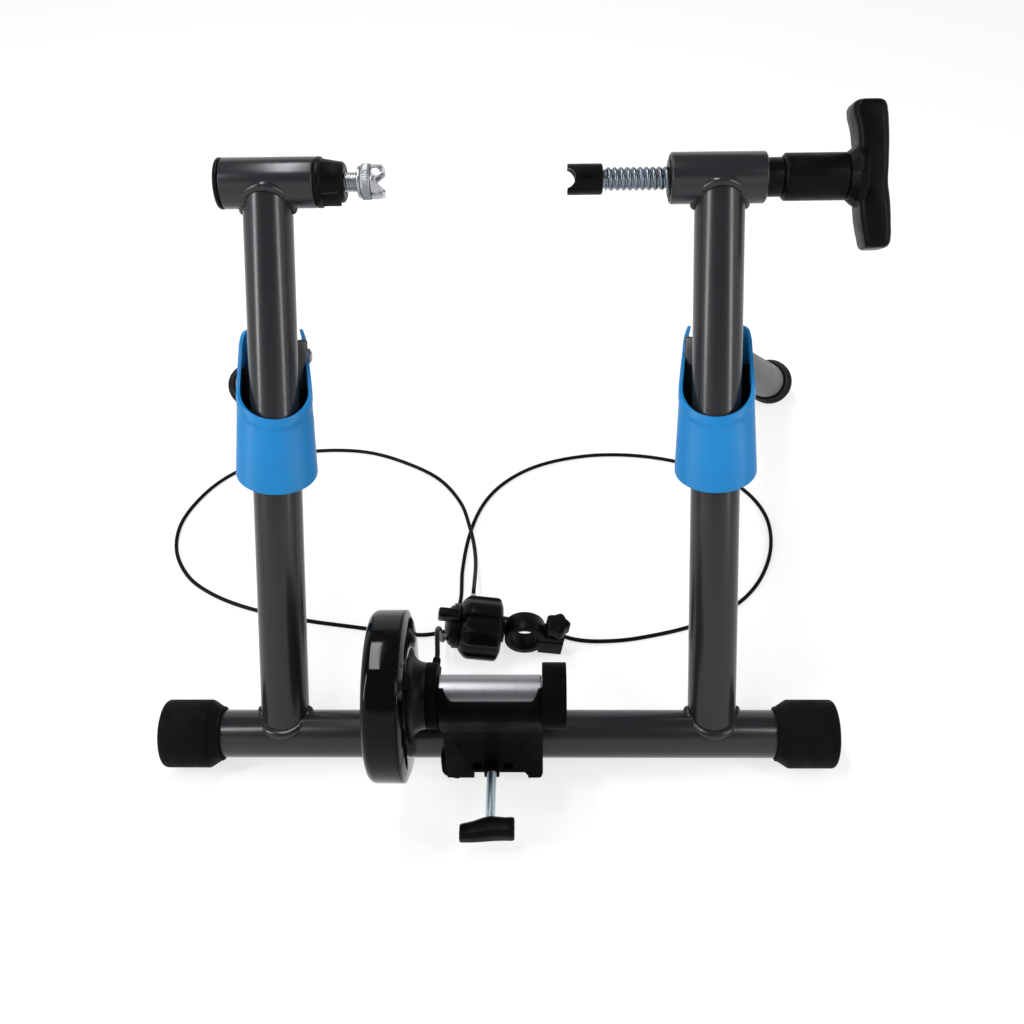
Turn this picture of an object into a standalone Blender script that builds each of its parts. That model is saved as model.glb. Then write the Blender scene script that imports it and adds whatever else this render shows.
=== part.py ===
"""Folding bike trainer: a tube frame with two fold-out rear legs, an axle clamp, a roller
resistance unit on the base tube and a remote shifter on its cable.

Metres, +Z up. The camera side of the trainer is -Y, the wheel stands on the +Y side, and the
origin is at the floor under the middle of the trainer.
"""
from math import asin, atan2, cos, hypot, pi, radians, sin, sqrt

import bmesh
import bpy
from mathutils import Matrix, Vector
from mathutils.geometry import intersect_line_line, intersect_point_line

# Shared by everything
GAP = 0.0003
TUBE_STEPS = 28
HOUSING_STEPS = 36
SMALL_STEPS = 20
PIN_STEPS = 14

# Frame tubes
TUBE_DIAMETER = 0.040
TUBE_WALL = 0.002
BASE_WIDTH = 0.565
UPRIGHT_SPACING = 0.360
UPRIGHT_LENGTH = 0.455
UPRIGHT_LEAN = radians(37.0)
HEAD_INNER = 0.040
HEAD_OUTER = 0.0355
HEAD_CHAMFER = 0.0015
WELD_RADIUS = 0.0038
WELD_ARCH = 0.0065

# Rubber feet on the base tube
FOOT_DIAMETER = 0.057
FOOT_LENGTH = 0.040
FOOT_TAPER = 0.010
FOOT_LIP = 0.0025
FOOT_END_WALL = 0.005
FOOT_ROUNDING = 0.004
FOOT_FLAT = 0.001

# Hinges and fold-out legs
HINGE_UP = 0.318
HINGE_BACK = 0.046
TOE_OUT = radians(19.0)
LEG_OPEN = radians(85.0)
LEG_DIAMETER = 0.038
LEG_PINCH = 0.024
LEG_PINCH_END = 0.030
LEG_ROUND_START = 0.055
LEG_BORE_START = 0.058
LEG_SIDE_PLAY = 0.0004
PIN_DIAMETER = 0.010
CHEEK = 0.003
BRACKET_LOW = 0.028
BRACKET_NOSE = 0.0135
BRACKET_FLOOR = 0.022
BRACKET_FRONT = 0.027
NUT_WIDTH = 0.013
NUT_HEIGHT = 0.0065
LEG_FOOT_DIAMETER = 0.050
LEG_FOOT_LENGTH = 0.038
LEG_FOOT_END_WALL = 0.006
LEG_FOOT_ROUNDING = 0.005
LEG_FOOT_FLAT = 0.003

# Blue hinge shrouds
SHROUD_LOW_WIDTH = 0.068
SHROUD_HIGH_WIDTH = 0.060
SHROUD_BACK_WIDTH = 0.047
SHROUD_BACK_TAPER = 0.36
SHROUD_WALL = 0.003
SHROUD_TUBE_PLAY = 0.0006
SHROUD_BACK = 0.046
SHROUD_LOW_DROP = 0.111
SHROUD_HIGH_DROP = 0.0503
SHROUD_TOP_SLOPE = radians(46.5)
SHROUD_ARC_STEPS = 18
SHROUD_SIDE_STEPS = 4
SHROUD_HOLE_DIAMETER = 0.017

# Left axle holder, lengths measured along the axle from the middle of the head tube
CAP_THICKNESS = 0.004
PLUG_LENGTH = 0.020
COLLAR_FLANGE = 0.0050
COLLAR_LENGTH = 0.0180
COLLAR_END_DIAMETER = 0.0305
ADJUST_SCREW_DIAMETER = 0.016
LOCK_START = 0.0735
LOCK_WASHER_THICKNESS = 0.002
LOCK_WASHER_DIAMETER = 0.025
LOCK_NUT_LENGTH = 0.0082
LOCK_NUT_DIAMETER = 0.028
LEFT_CUP_LENGTH = 0.0092
LEFT_CUP_DIAMETER = 0.027
LEFT_CUP_TOOTH = 0.0062

# Right axle clamp
CLAMP_SCREW_DIAMETER = 0.018
CLAMP_SPIGOT_DIAMETER = 0.012
CLAMP_SPIGOT_LENGTH = 0.0075
RIGHT_CUP_START = 0.0928
RIGHT_CUP_LENGTH = 0.0279
RIGHT_CUP_DIAMETER = 0.024
RIGHT_CUP_POCKET = 0.010
CUP_POCKET_DIAMETER = 0.017
CUP_NOTCH_DIAMETER = 0.016
CUP_NOTCH_DEPTH = 0.0063
BUSH_NECK_DIAMETER = 0.0303
BUSH_NECK_LENGTH = 0.0125
SLEEVE_DIAMETER = 0.0367
SLEEVE_LENGTH = 0.0497
HUB_DIAMETER = 0.049
HUB_LENGTH = 0.009
HANDLE_HALF_LENGTH = 0.0565
HANDLE_THICKNESS = 0.024
HANDLE_WIDTH = 0.032
HANDLE_WAIST = 0.84
HANDLE_ROUNDING = 0.0045

# Resistance unit
UNIT_LEAN = radians(18.0)
ROLLER_ARM = 0.1015
ROLLER_DIAMETER = 0.032
ROLLER_LEFT = -0.0415
ROLLER_LENGTH = 0.079
ROLLER_PLAY = 0.0007
AXLE_DIAMETER = 0.010
AXLE_PLAY = 0.0003
BEARING_DIAMETER = 0.026
BEARING_WIDTH = 0.008
CRADLE_WALL = 0.008
TROUGH_WALL = 0.0035
TROUGH_PLAY = 0.0025
OPENING_LIP = 0.0108
BEARING_BLOCK_DIAMETER = 0.051
BEARING_BLOCK_LENGTH = 0.018
CLAMP_PLAY = 0.0004
CLAMP_OUTER = 0.0265
CLAMP_SPLIT = radians(45.0)
CLAMP_EAR = 0.0045
FRONT_EAR_REACH = 0.033
REAR_EAR_REACH = 0.036
FRONT_SCREW = 0.0290
REAR_SCREW = 0.0312
CLAMP_FRONT = 0.031
CAP_SCREW_DIAMETER = 0.004
CAP_SCREW_HEAD = 0.0056
CAP_SCREW_HEAD_HEIGHT = 0.0016
CAP_SCREW_INSET = 0.011
NECK_DIAMETER = 0.051
NECK_FLARE = 0.0115
NECK_LENGTH = 0.0120
HOUSING_DIAMETER = 0.132
HOUSING_WALL = 0.003
HOUSING_WIDTH = 0.0260
HOUSING_ROUNDING = 0.006
COVER_BEVEL = 0.0065
COVER_DEPTH = 0.004
COVER_LAND = 0.001
COVER_WALL = 0.003
COVER_COLLAR_DEPTH = 0.012
ROTOR_DIAMETER = 0.112
ROTOR_THICKNESS = 0.006
CARRIER_THICKNESS = 0.004
CARRIER_SETBACK = 0.006
MAGNET_COUNT = 8
MAGNET_DIAMETER = 0.018
MAGNET_THICKNESS = 0.003
MAGNET_GAP = 0.001
GLAND_DIAMETER = 0.009
GLAND_TIP_DIAMETER = 0.0065
GLAND_LENGTH = 0.016
GLAND_ANGLE = radians(-10.0)

# Lock bolt that presses on the base tube
LOCK_BOLT_DIAMETER = 0.008
LOCK_BOLT_X = -0.004
LOCK_PAD_DIAMETER = 0.007
LOCK_PAD_LENGTH = 0.004
LOCK_BOSS = 0.0125
LOCK_BOSS_LENGTH = 0.008
KNOB_START = 0.0805
KNOB_DEPTH = 0.018
KNOB_HUB_DIAMETER = 0.018
KNOB_SPAN = 0.043
KNOB_WING = 0.012
KNOB_TURN = radians(-14.0)

# Remote shifter, lengths measured along the barrel from the middle of the handlebar band
SHIFTER_X = 0.022
SHIFTER_Y = 0.112
SHIFTER_TILT = radians(9.0)
BAND_BORE = 0.026
BAND_WALL = 0.0055
BAND_WIDTH = 0.019
BAND_SLIT = 0.002
EAR_LENGTH = 0.036
EAR_WIDTH = 0.018
EAR_THICKNESS = 0.005
EAR_BLOCK = 0.0165
CLAMP_BOLT_DIAMETER = 0.005
CLAMP_BOLT_X = 0.028
STAR_DIAMETER = 0.023
STAR_HEIGHT = 0.012
STAR_LOBES = 5
KNOB_WASHER_DIAMETER = 0.012
KNOB_WASHER_THICKNESS = 0.001
BARREL_DIAMETER = 0.058
BARREL_START = 0.0225
BARREL_LENGTH = 0.0375
BARREL_RIBS = 6
BARREL_RIB_HEIGHT = 0.003
BARREL_RIB_FLANK = 1.4
BARREL_RIB_LEVEL = 0.5
LEVER_RING_DIAMETER = 0.041
LEVER_RING_LENGTH = 0.006
LEVER_PADDLE_LENGTH = 0.021
LEVER_PADDLE_WIDTH = 0.015
LEVER_PADDLE_THICKNESS = 0.009
END_CAP_DIAMETER = 0.037
END_CAP_LENGTH = 0.007
FERRULE_X = -0.049
FERRULE_DIAMETER = 0.008
FERRULE_LENGTH = 0.012

# Remote cable
CABLE_DIAMETER = 0.004
CABLE_POINTS = 78
CABLE_FLOOR = 0.0022
CABLE_LEAST_GAP = 0.0004

# Sizes that follow from the ones above
TUBE_RADIUS = TUBE_DIAMETER / 2
TUBE_BORE = TUBE_RADIUS - TUBE_WALL
FOOT_RADIUS = FOOT_DIAMETER / 2
BAR_HEIGHT = FOOT_RADIUS - FOOT_FLAT
LEG_RADIUS = LEG_DIAMETER / 2
PIN_RADIUS = PIN_DIAMETER / 2
SLOT_HALF = LEG_PINCH / 2 + LEG_SIDE_PLAY
BRACKET_HALF = SLOT_HALF + CHEEK
SHROUD_FRONT_LOW = HINGE_UP - SHROUD_LOW_DROP
SHROUD_FRONT_HIGH = HINGE_UP - SHROUD_HIGH_DROP
ROLLER_RADIUS = ROLLER_DIAMETER / 2
ROLLER_RIGHT = ROLLER_LEFT + ROLLER_LENGTH
ROLLER_Y = -ROLLER_ARM * sin(UNIT_LEAN)
ROLLER_Z = ROLLER_ARM * cos(UNIT_LEAN)
AXLE_RADIUS = AXLE_DIAMETER / 2
BEARING_RADIUS = BEARING_DIAMETER / 2
CRADLE_LEFT = ROLLER_LEFT - ROLLER_PLAY
CRADLE_RIGHT = ROLLER_RIGHT + ROLLER_PLAY
NECK_RIGHT = CRADLE_LEFT - CRADLE_WALL - GAP
NECK_LEFT = NECK_RIGHT - NECK_LENGTH
COVER_RIGHT = NECK_LEFT - GAP
HOUSING_RIGHT = COVER_RIGHT - COVER_DEPTH - GAP
HOUSING_LEFT = HOUSING_RIGHT - HOUSING_WIDTH
HOUSING_RADIUS = HOUSING_DIAMETER / 2
BARREL_RADIUS = BARREL_DIAMETER / 2
SHIFTER_Z = BARREL_RADIUS * cos(SHIFTER_TILT) - BARREL_START * sin(SHIFTER_TILT)


def finish(name, colour, roughness, metallic=0.0):
    """A plain Principled material in the colour of the real piece."""
    material = bpy.data.materials.new(name)
    material.use_nodes = True
    shader = material.node_tree.nodes["Principled BSDF"]
    shader.inputs["Base Color"].default_value = (*colour, 1.0)
    shader.inputs["Roughness"].default_value = roughness
    shader.inputs["Metallic"].default_value = metallic
    material.diffuse_color = (*colour, 1.0)
    return material


def empty(name, parent=None, place=(0.0, 0.0, 0.0), turn=(0.0, 0.0, 0.0)):
    """A frame that carries pieces: a tube axis, a joint or a whole sub-assembly."""
    frame = bpy.data.objects.new(name, None)
    bpy.context.collection.objects.link(frame)
    frame.empty_display_size = 0.02
    frame.parent = parent
    frame.location = place
    frame.rotation_euler = turn
    return frame


def piece(name, bm, material, parent, place=(0.0, 0.0, 0.0), turn=(0.0, 0.0, 0.0)):
    """Turn a finished bmesh into one named object under its frame."""
    mesh = bpy.data.meshes.new(name)
    bm.to_mesh(mesh)
    bm.free()
    mesh.shade_smooth()
    mesh.set_sharp_from_angle(angle=radians(35.0))
    mesh.materials.append(material)
    solid = bpy.data.objects.new(name, mesh)
    bpy.context.collection.objects.link(solid)
    solid.parent = parent
    solid.location = place
    solid.rotation_euler = turn
    return solid


def guide(name, bm, parent, place=(0.0, 0.0, 0.0), turn=(0.0, 0.0, 0.0)):
    """A hidden shape that only cuts or joins other pieces."""
    mesh = bpy.data.meshes.new(name)
    bm.to_mesh(mesh)
    bm.free()
    cutter = bpy.data.objects.new(name, mesh)
    bpy.context.collection.objects.link(cutter)
    cutter.parent = parent
    cutter.location = place
    cutter.rotation_euler = turn
    cutter.hide_render = True
    cutter.display_type = "WIRE"
    return cutter


def combine(solid, other, operation):
    """Add one exact Boolean step to a piece."""
    step = solid.modifiers.new(other.name, "BOOLEAN")
    step.operation = operation
    step.solver = "EXACT"
    step.object = other


def cut(solid, *cutters):
    for cutter in cutters:
        combine(solid, cutter, "DIFFERENCE")


def join(solid, *others):
    for other in others:
        combine(solid, other, "UNION")


def round_edges(solid, width, segments=2, angle=radians(40.0)):
    """Bevel the edges of a piece that are sharper than the angle."""
    step = solid.modifiers.new("rounded_edges", "BEVEL")
    step.width = width
    step.segments = segments
    step.limit_method = "ANGLE"
    step.angle_limit = angle


def turned(profile, steps=TUBE_STEPS):
    """Spin (radius, along) points around X. A profile off the axis closes into a ring."""
    bm = bmesh.new()
    points = [bm.verts.new((along, 0.0, radius)) for radius, along in profile]
    links = [bm.edges.new(pair) for pair in zip(points, points[1:])]
    if profile[0][0] > 0.0:
        links.append(bm.edges.new((points[-1], points[0])))
    bmesh.ops.spin(bm, geom=points + links, cent=(0.0, 0.0, 0.0), axis=(1.0, 0.0, 0.0),
                   angle=2 * pi, steps=steps, use_merge=True)
    bmesh.ops.remove_doubles(bm, verts=bm.verts, dist=1e-6)
    bmesh.ops.recalc_face_normals(bm, faces=bm.faces)
    return bm


def rod(radius, start, end, steps=TUBE_STEPS):
    """A plain round bar along X."""
    return turned([(0.0, start), (radius, start), (radius, end), (0.0, end)], steps)


def ring(outer, inner, start, end, steps=TUBE_STEPS):
    """A plain round tube along X."""
    return turned([(outer, start), (outer, end), (inner, end), (inner, start)], steps)


def prism(outline, start, end):
    """Extrude a closed (y, z) outline along X."""
    bm = bmesh.new()
    face = bm.faces.new([bm.verts.new((start, y, z)) for y, z in outline])
    swept = bmesh.ops.extrude_face_region(bm, geom=[face])
    moved = [item for item in swept["geom"] if isinstance(item, bmesh.types.BMVert)]
    bmesh.ops.translate(bm, verts=moved, vec=(end - start, 0.0, 0.0))
    bmesh.ops.recalc_face_normals(bm, faces=bm.faces)
    return bm


def slab(outline, low, high):
    """Extrude a closed (x, z) outline along Y."""
    bm = bmesh.new()
    face = bm.faces.new([bm.verts.new((x, low, z)) for x, z in outline])
    swept = bmesh.ops.extrude_face_region(bm, geom=[face])
    moved = [item for item in swept["geom"] if isinstance(item, bmesh.types.BMVert)]
    bmesh.ops.translate(bm, verts=moved, vec=(0.0, high - low, 0.0))
    bmesh.ops.recalc_face_normals(bm, faces=bm.faces)
    return bm


def block(low, high):
    """A box between two corners."""
    bm = bmesh.new()
    bmesh.ops.create_cube(bm, size=1.0)
    size = Vector(high) - Vector(low)
    middle = (Vector(high) + Vector(low)) / 2
    bmesh.ops.scale(bm, verts=bm.verts, vec=size)
    bmesh.ops.translate(bm, verts=bm.verts, vec=middle)
    return bm


def loft(sections):
    """Bridge closed sections of equal point counts and cap both ends."""
    bm = bmesh.new()
    rings = []
    for section in sections:
        corners = [bm.verts.new(point) for point in section]
        edges = [bm.edges.new((corners[i - 1], corners[i])) for i in range(len(corners))]
        rings.append((corners, edges))
    for near, far in zip(rings, rings[1:]):
        bmesh.ops.bridge_loops(bm, edges=near[1] + far[1])
    bm.faces.new(rings[0][0])
    bm.faces.new(rings[-1][0])
    bmesh.ops.recalc_face_normals(bm, faces=bm.faces)
    return bm


def arc(centre, radius, start, end, steps):
    """Points on a circle from one angle to another, both included."""
    angles = [start + (end - start) * i / steps for i in range(steps + 1)]
    return [(centre[0] + radius * cos(a), centre[1] + radius * sin(a)) for a in angles]


def hexagon(width):
    """A hexagon outline by its width across flats."""
    return arc((0.0, 0.0), width / 2 / cos(pi / 6), 0.0, 2 * pi * 5 / 6, 5)


def turn_z(bm):
    """Stand a shape that was made along X up along Z."""
    bmesh.ops.rotate(bm, verts=bm.verts, cent=(0.0, 0.0, 0.0), matrix=Matrix.Rotation(-pi / 2, 3, "Y"))
    return bm


def turn_y(bm):
    """Lay a shape that was made along X along Y."""
    bmesh.ops.rotate(bm, verts=bm.verts, cent=(0.0, 0.0, 0.0), matrix=Matrix.Rotation(pi / 2, 3, "Z"))
    return bm


def weld_bead(centre_z, upward):
    """The fillet weld along the saddle where an upright meets a cross tube."""
    spline_points = []
    for i in range(TUBE_STEPS):
        angle = 2 * pi * i / TUBE_STEPS
        across = 0.985 * TUBE_RADIUS
        rise = sqrt(TUBE_RADIUS ** 2 - (across * sin(angle)) ** 2 + WELD_ARCH ** 2)
        spline_points.append((across * cos(angle), across * sin(angle), centre_z + upward * rise))
    curve = bpy.data.curves.new("weld_path", "CURVE")
    curve.dimensions = "3D"
    curve.bevel_depth = WELD_RADIUS
    curve.bevel_resolution = 0
    spline = curve.splines.new("POLY")
    spline.points.add(len(spline_points) - 1)
    for point, place in zip(spline.points, spline_points):
        point.co = (*place, 1.0)
    spline.use_cyclic_u = True
    path = bpy.data.objects.new("weld_path", curve)
    bm = bmesh.new()
    bm.from_mesh(path.to_mesh())
    path.to_mesh_clear()
    bpy.data.objects.remove(path)
    bmesh.ops.recalc_face_normals(bm, faces=bm.faces)
    return bm


def make_finishes():
    """The colours of the real pieces."""
    return {
        "frame": finish("frame_paint", (0.050, 0.054, 0.058), 0.32, 0.55),
        "blue": finish("blue_plastic", (0.022, 0.225, 0.640), 0.45),
        "rubber": finish("black_rubber", (0.012, 0.012, 0.013), 0.75),
        "plastic": finish("black_plastic", (0.015, 0.015, 0.017), 0.50),
        "gloss": finish("gloss_black", (0.012, 0.012, 0.014), 0.12),
        "zinc": finish("zinc", (0.60, 0.61, 0.62), 0.30, 1.0),
        "steel": finish("grey_steel", (0.33, 0.34, 0.35), 0.40, 1.0),
        "silver": finish("roller_silver", (0.62, 0.62, 0.64), 0.35, 1.0),
        "magnet": finish("rotor_aluminium", (0.70, 0.70, 0.71), 0.35, 1.0),
    }


def make_base(root, paint, rubber, floor):
    """The base tube on its two rubber feet."""
    axis = empty("base_axis", root, (0.0, 0.0, BAR_HEIGHT))
    end = BASE_WIDTH / 2 - FOOT_END_WALL - GAP
    piece("base_tube", ring(TUBE_RADIUS, TUBE_BORE, -end, end), paint, axis)
    bore = TUBE_RADIUS + GAP
    length = FOOT_TAPER + FOOT_LENGTH
    corner = arc((length - FOOT_ROUNDING, FOOT_RADIUS - FOOT_ROUNDING), FOOT_ROUNDING, 0.0, pi / 2, 3)
    profile = [(0.0, length)] + [(radius, along) for along, radius in corner]
    profile += [(FOOT_RADIUS, FOOT_TAPER), (bore + FOOT_LIP, 0.0), (bore, 0.0)]
    profile += [(bore, length - FOOT_END_WALL), (0.0, length - FOOT_END_WALL)]
    for side, name in ((-1, "left"), (1, "right")):
        turn = (0.0, 0.0, 0.0 if side > 0 else pi)
        foot = piece(name + "_base_foot", turned(profile), rubber, axis,
                     (side * (BASE_WIDTH / 2 - length), 0.0, 0.0), turn)
        cut(foot, floor)
    return axis


def make_upright(name, axis, base_axis_cutter, head_axis_cutter, paint):
    """An upright tube, notched over the cross tubes at both ends, with its weld beads."""
    upright = piece(name + "_upright", turn_z(rod(TUBE_RADIUS, 0.0, UPRIGHT_LENGTH)), paint, axis)
    join(upright, guide(name + "_base_weld", weld_bead(0.0, 1), axis))
    join(upright, guide(name + "_head_weld", weld_bead(UPRIGHT_LENGTH, -1), axis))
    cut(upright, base_axis_cutter, head_axis_cutter)
    cut(upright, guide(name + "_upright_bore", turn_z(rod(TUBE_BORE, -0.03, UPRIGHT_LENGTH + 0.03)), axis))
    return upright


def make_head_tube(name, head, side, paint):
    """A short cross tube with chamfered ends, longer on the wheel's side."""
    inner, outer = -side * HEAD_INNER, side * HEAD_OUTER
    start, end = min(inner, outer), max(inner, outer)
    profile = [(TUBE_RADIUS - HEAD_CHAMFER, start), (TUBE_RADIUS, start + HEAD_CHAMFER),
               (TUBE_RADIUS, end - HEAD_CHAMFER), (TUBE_RADIUS - HEAD_CHAMFER, end),
               (TUBE_BORE, end), (TUBE_BORE, start)]
    piece(name + "_head_tube", turned(profile), paint, head)


def bracket_outline():
    """The hinge bracket's cheek around the pin, from the upright's back to its round nose."""
    nose = arc((0.0, 0.0), BRACKET_NOSE, -pi / 2, pi / 2, 8)
    return [(-BRACKET_FRONT, -BRACKET_LOW), (-BRACKET_FLOOR, -BRACKET_LOW)] + nose + [
        (-BRACKET_FRONT, BRACKET_NOSE)]


def shroud_section(half_width, back_half, front, height, inset, tail):
    """A section of the shroud: a half oval around the tube's front, and walls that close to the back."""
    right = []
    for i in range(1, SHROUD_SIDE_STEPS + 1):
        share = i / SHROUD_SIDE_STEPS
        right.append((half_width - (half_width - back_half) * share ** 2 - inset, SHROUD_BACK * share, height))
    if tail:
        right.append((back_half - inset, SHROUD_BACK + tail, height))
    front_half = []
    for i in range(SHROUD_ARC_STEPS + 1):
        angle = -pi * i / SHROUD_ARC_STEPS
        front_half.append(((half_width - inset) * cos(angle), (front - inset) * sin(angle), height))
    left = [(-x, y, z) for x, y, z in right]
    return right[::-1] + front_half + left


def shroud_half_width(height):
    """The shroud is wider at its lower front edge than at its top."""
    share = (height - SHROUD_FRONT_LOW) / SHROUD_LOW_DROP
    return (SHROUD_LOW_WIDTH + (SHROUD_HIGH_WIDTH - SHROUD_LOW_WIDTH) * share) / 2


def shroud_wall(inset, tail):
    """One surface of the shroud as a tall solid, before its slanted ends are cut. Above the pin it
    closes more towards the back."""
    front = TUBE_RADIUS + SHROUD_TUBE_PLAY + SHROUD_WALL
    sections = []
    for height in (SHROUD_FRONT_LOW - 0.03, HINGE_UP, HINGE_UP + 0.06):
        back_width = SHROUD_BACK_WIDTH - SHROUD_BACK_TAPER * max(0.0, height - HINGE_UP)
        sections.append(shroud_section(shroud_half_width(height), back_width / 2, front, height, inset, tail))
    return loft(sections)


def make_shroud(name, axis, blue, head_hole):
    """The blue cover around the upright and the hinge, cut at a slant at both ends."""
    bm = shroud_wall(0.0, 0.0)
    front = -(TUBE_RADIUS + SHROUD_TUBE_PLAY + SHROUD_WALL)
    for height, slope, side in ((SHROUD_FRONT_HIGH, SHROUD_TOP_SLOPE, 1), (SHROUD_FRONT_LOW, UPRIGHT_LEAN, -1)):
        normal = Vector((0.0, -sin(slope), cos(slope))) * side
        bmesh.ops.bisect_plane(bm, geom=bm.verts[:] + bm.edges[:] + bm.faces[:],
                               plane_co=(0.0, front, height), plane_no=normal, clear_outer=True)
        rim = [edge for edge in bm.edges if edge.is_boundary]
        bmesh.ops.contextual_create(bm, geom=rim)
    bmesh.ops.recalc_face_normals(bm, faces=bm.faces)
    shroud = piece(name + "_hinge_shroud", bm, blue, axis)
    inside = guide(name + "_shroud_inside", shroud_wall(SHROUD_WALL, 0.02), axis)
    cut(shroud, inside, head_hole)


def make_hinge(name, axis, side, finishes, upright_cutter):
    """Bracket, pin bolt, nut and shroud on the back of one upright, the pin turned by the legs' toe."""
    pin = empty(name + "_leg_pivot", axis, (0.0, HINGE_BACK, HINGE_UP), (0.0, 0.0, -side * TOE_OUT))
    hole = guide(name + "_pin_hole", rod(PIN_RADIUS + GAP, -0.05, 0.05, PIN_STEPS), pin)
    bracket = piece(name + "_hinge_bracket", prism(bracket_outline(), -BRACKET_HALF, BRACKET_HALF),
                    finishes["frame"], pin)
    slot = guide(name + "_leg_slot", block((-SLOT_HALF, -BRACKET_FLOOR, -0.05), (SLOT_HALF, 0.05, 0.05)), pin)
    cut(bracket, slot, upright_cutter, hole)
    head_hole = guide(name + "_head_hole", rod(SHROUD_HOLE_DIAMETER / 2, -0.05, 0.05, PIN_STEPS), pin)
    make_shroud(name, axis, finishes["blue"], head_hole)

    turn = (0.0, 0.0, 0.0 if side > 0 else pi)
    grip = BRACKET_HALF + GAP
    end = -grip - NUT_HEIGHT - 0.002
    shank = [(0.0, end), (PIN_RADIUS, end), (PIN_RADIUS, grip + GAP), (0.0, grip + GAP)]
    bolt = piece(name + "_hinge_bolt", turned(shank, PIN_STEPS), finishes["zinc"], pin, turn=turn)
    join(bolt, guide(name + "_bolt_head", prism(hexagon(NUT_WIDTH), grip, grip + NUT_HEIGHT), pin, turn=turn))
    nut = piece(name + "_hinge_nut", prism(hexagon(NUT_WIDTH), -grip - NUT_HEIGHT, -grip), finishes["zinc"],
                pin, turn=turn)
    cut(nut, hole)
    return pin


def leg_fall():
    """How steeply the open leg falls: the drop for each unit of its length."""
    return sin(LEG_OPEN) * cos(TOE_OUT) * sin(UPRIGHT_LEAN) + cos(LEG_OPEN) * cos(UPRIGHT_LEAN)


def leg_reach():
    """From the pin to the end of the leg's foot, so that the foot's sole is on the floor."""
    fall = leg_fall()
    pin_height = BAR_HEIGHT + HINGE_UP * cos(UPRIGHT_LEAN) - HINGE_BACK * sin(UPRIGHT_LEAN)
    drop = LEG_FOOT_DIAMETER / 2 * sqrt(1.0 - fall ** 2)
    return (pin_height - drop + LEG_FOOT_FLAT) / fall


def leg_solid(end):
    """A round bar along Z whose lower end is pressed narrower and rounded about the pin."""
    bm = bmesh.new()
    pinch = LEG_PINCH / LEG_DIAMETER
    stations = ((0.0, pinch), (LEG_PINCH_END, pinch), (LEG_ROUND_START, 1.0), (end, 1.0))
    rings = []
    for height, narrow in stations:
        corners = []
        for i in range(TUBE_STEPS):
            angle = 2 * pi * i / TUBE_STEPS - pi / 2
            x, y = LEG_RADIUS * cos(angle), LEG_RADIUS * sin(angle)
            corners.append(bm.verts.new((x * narrow, y, height or -abs(x))))
        rings.append(corners)
    for near, far in zip(rings, rings[1:]):
        for i in range(TUBE_STEPS):
            after = (i + 1) % TUBE_STEPS
            bm.faces.new((near[i], near[after], far[after], far[i]))
    low, high = rings[0], rings[-1]
    half = TUBE_STEPS // 2
    for i in range(half):
        corners = [low[i], low[(TUBE_STEPS - i) % TUBE_STEPS], low[TUBE_STEPS - i - 1], low[i + 1]]
        bm.faces.new(list(dict.fromkeys(corners)))
    bm.faces.new(high)
    bmesh.ops.recalc_face_normals(bm, faces=bm.faces)
    return bm


def make_leg(name, pin, finishes, floor):
    """A fold-out leg: tube with a rounded end at the pin, and a rubber foot."""
    leg = empty(name + "_leg_frame", pin, turn=(LEG_OPEN - pi, 0.0, 0.0))
    reach = leg_reach()
    tube_end = reach - LEG_FOOT_END_WALL - GAP
    tube = piece(name + "_leg_tube", leg_solid(tube_end), finishes["frame"], leg)
    bore = guide(name + "_leg_bore", turn_z(rod(LEG_RADIUS - TUBE_WALL, LEG_BORE_START, reach + 0.01)), leg)
    cut(tube, bore, guide(name + "_leg_pin_hole", rod(PIN_RADIUS + GAP, -0.05, 0.05, PIN_STEPS), leg))

    radius = LEG_FOOT_DIAMETER / 2
    seat = LEG_RADIUS + GAP
    start = reach - LEG_FOOT_LENGTH
    corner = arc((reach - LEG_FOOT_ROUNDING, radius - LEG_FOOT_ROUNDING), LEG_FOOT_ROUNDING, 0.0, pi / 2, 4)
    profile = [(0.0, reach)] + [(r, along) for along, r in corner] + [(radius, start + 0.002),
               (radius - 0.002, start), (seat, start), (seat, reach - LEG_FOOT_END_WALL),
               (0.0, reach - LEG_FOOT_END_WALL)]
    foot = piece(name + "_leg_foot", turn_z(turned(profile)), finishes["rubber"], leg)
    cut(foot, floor)


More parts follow.
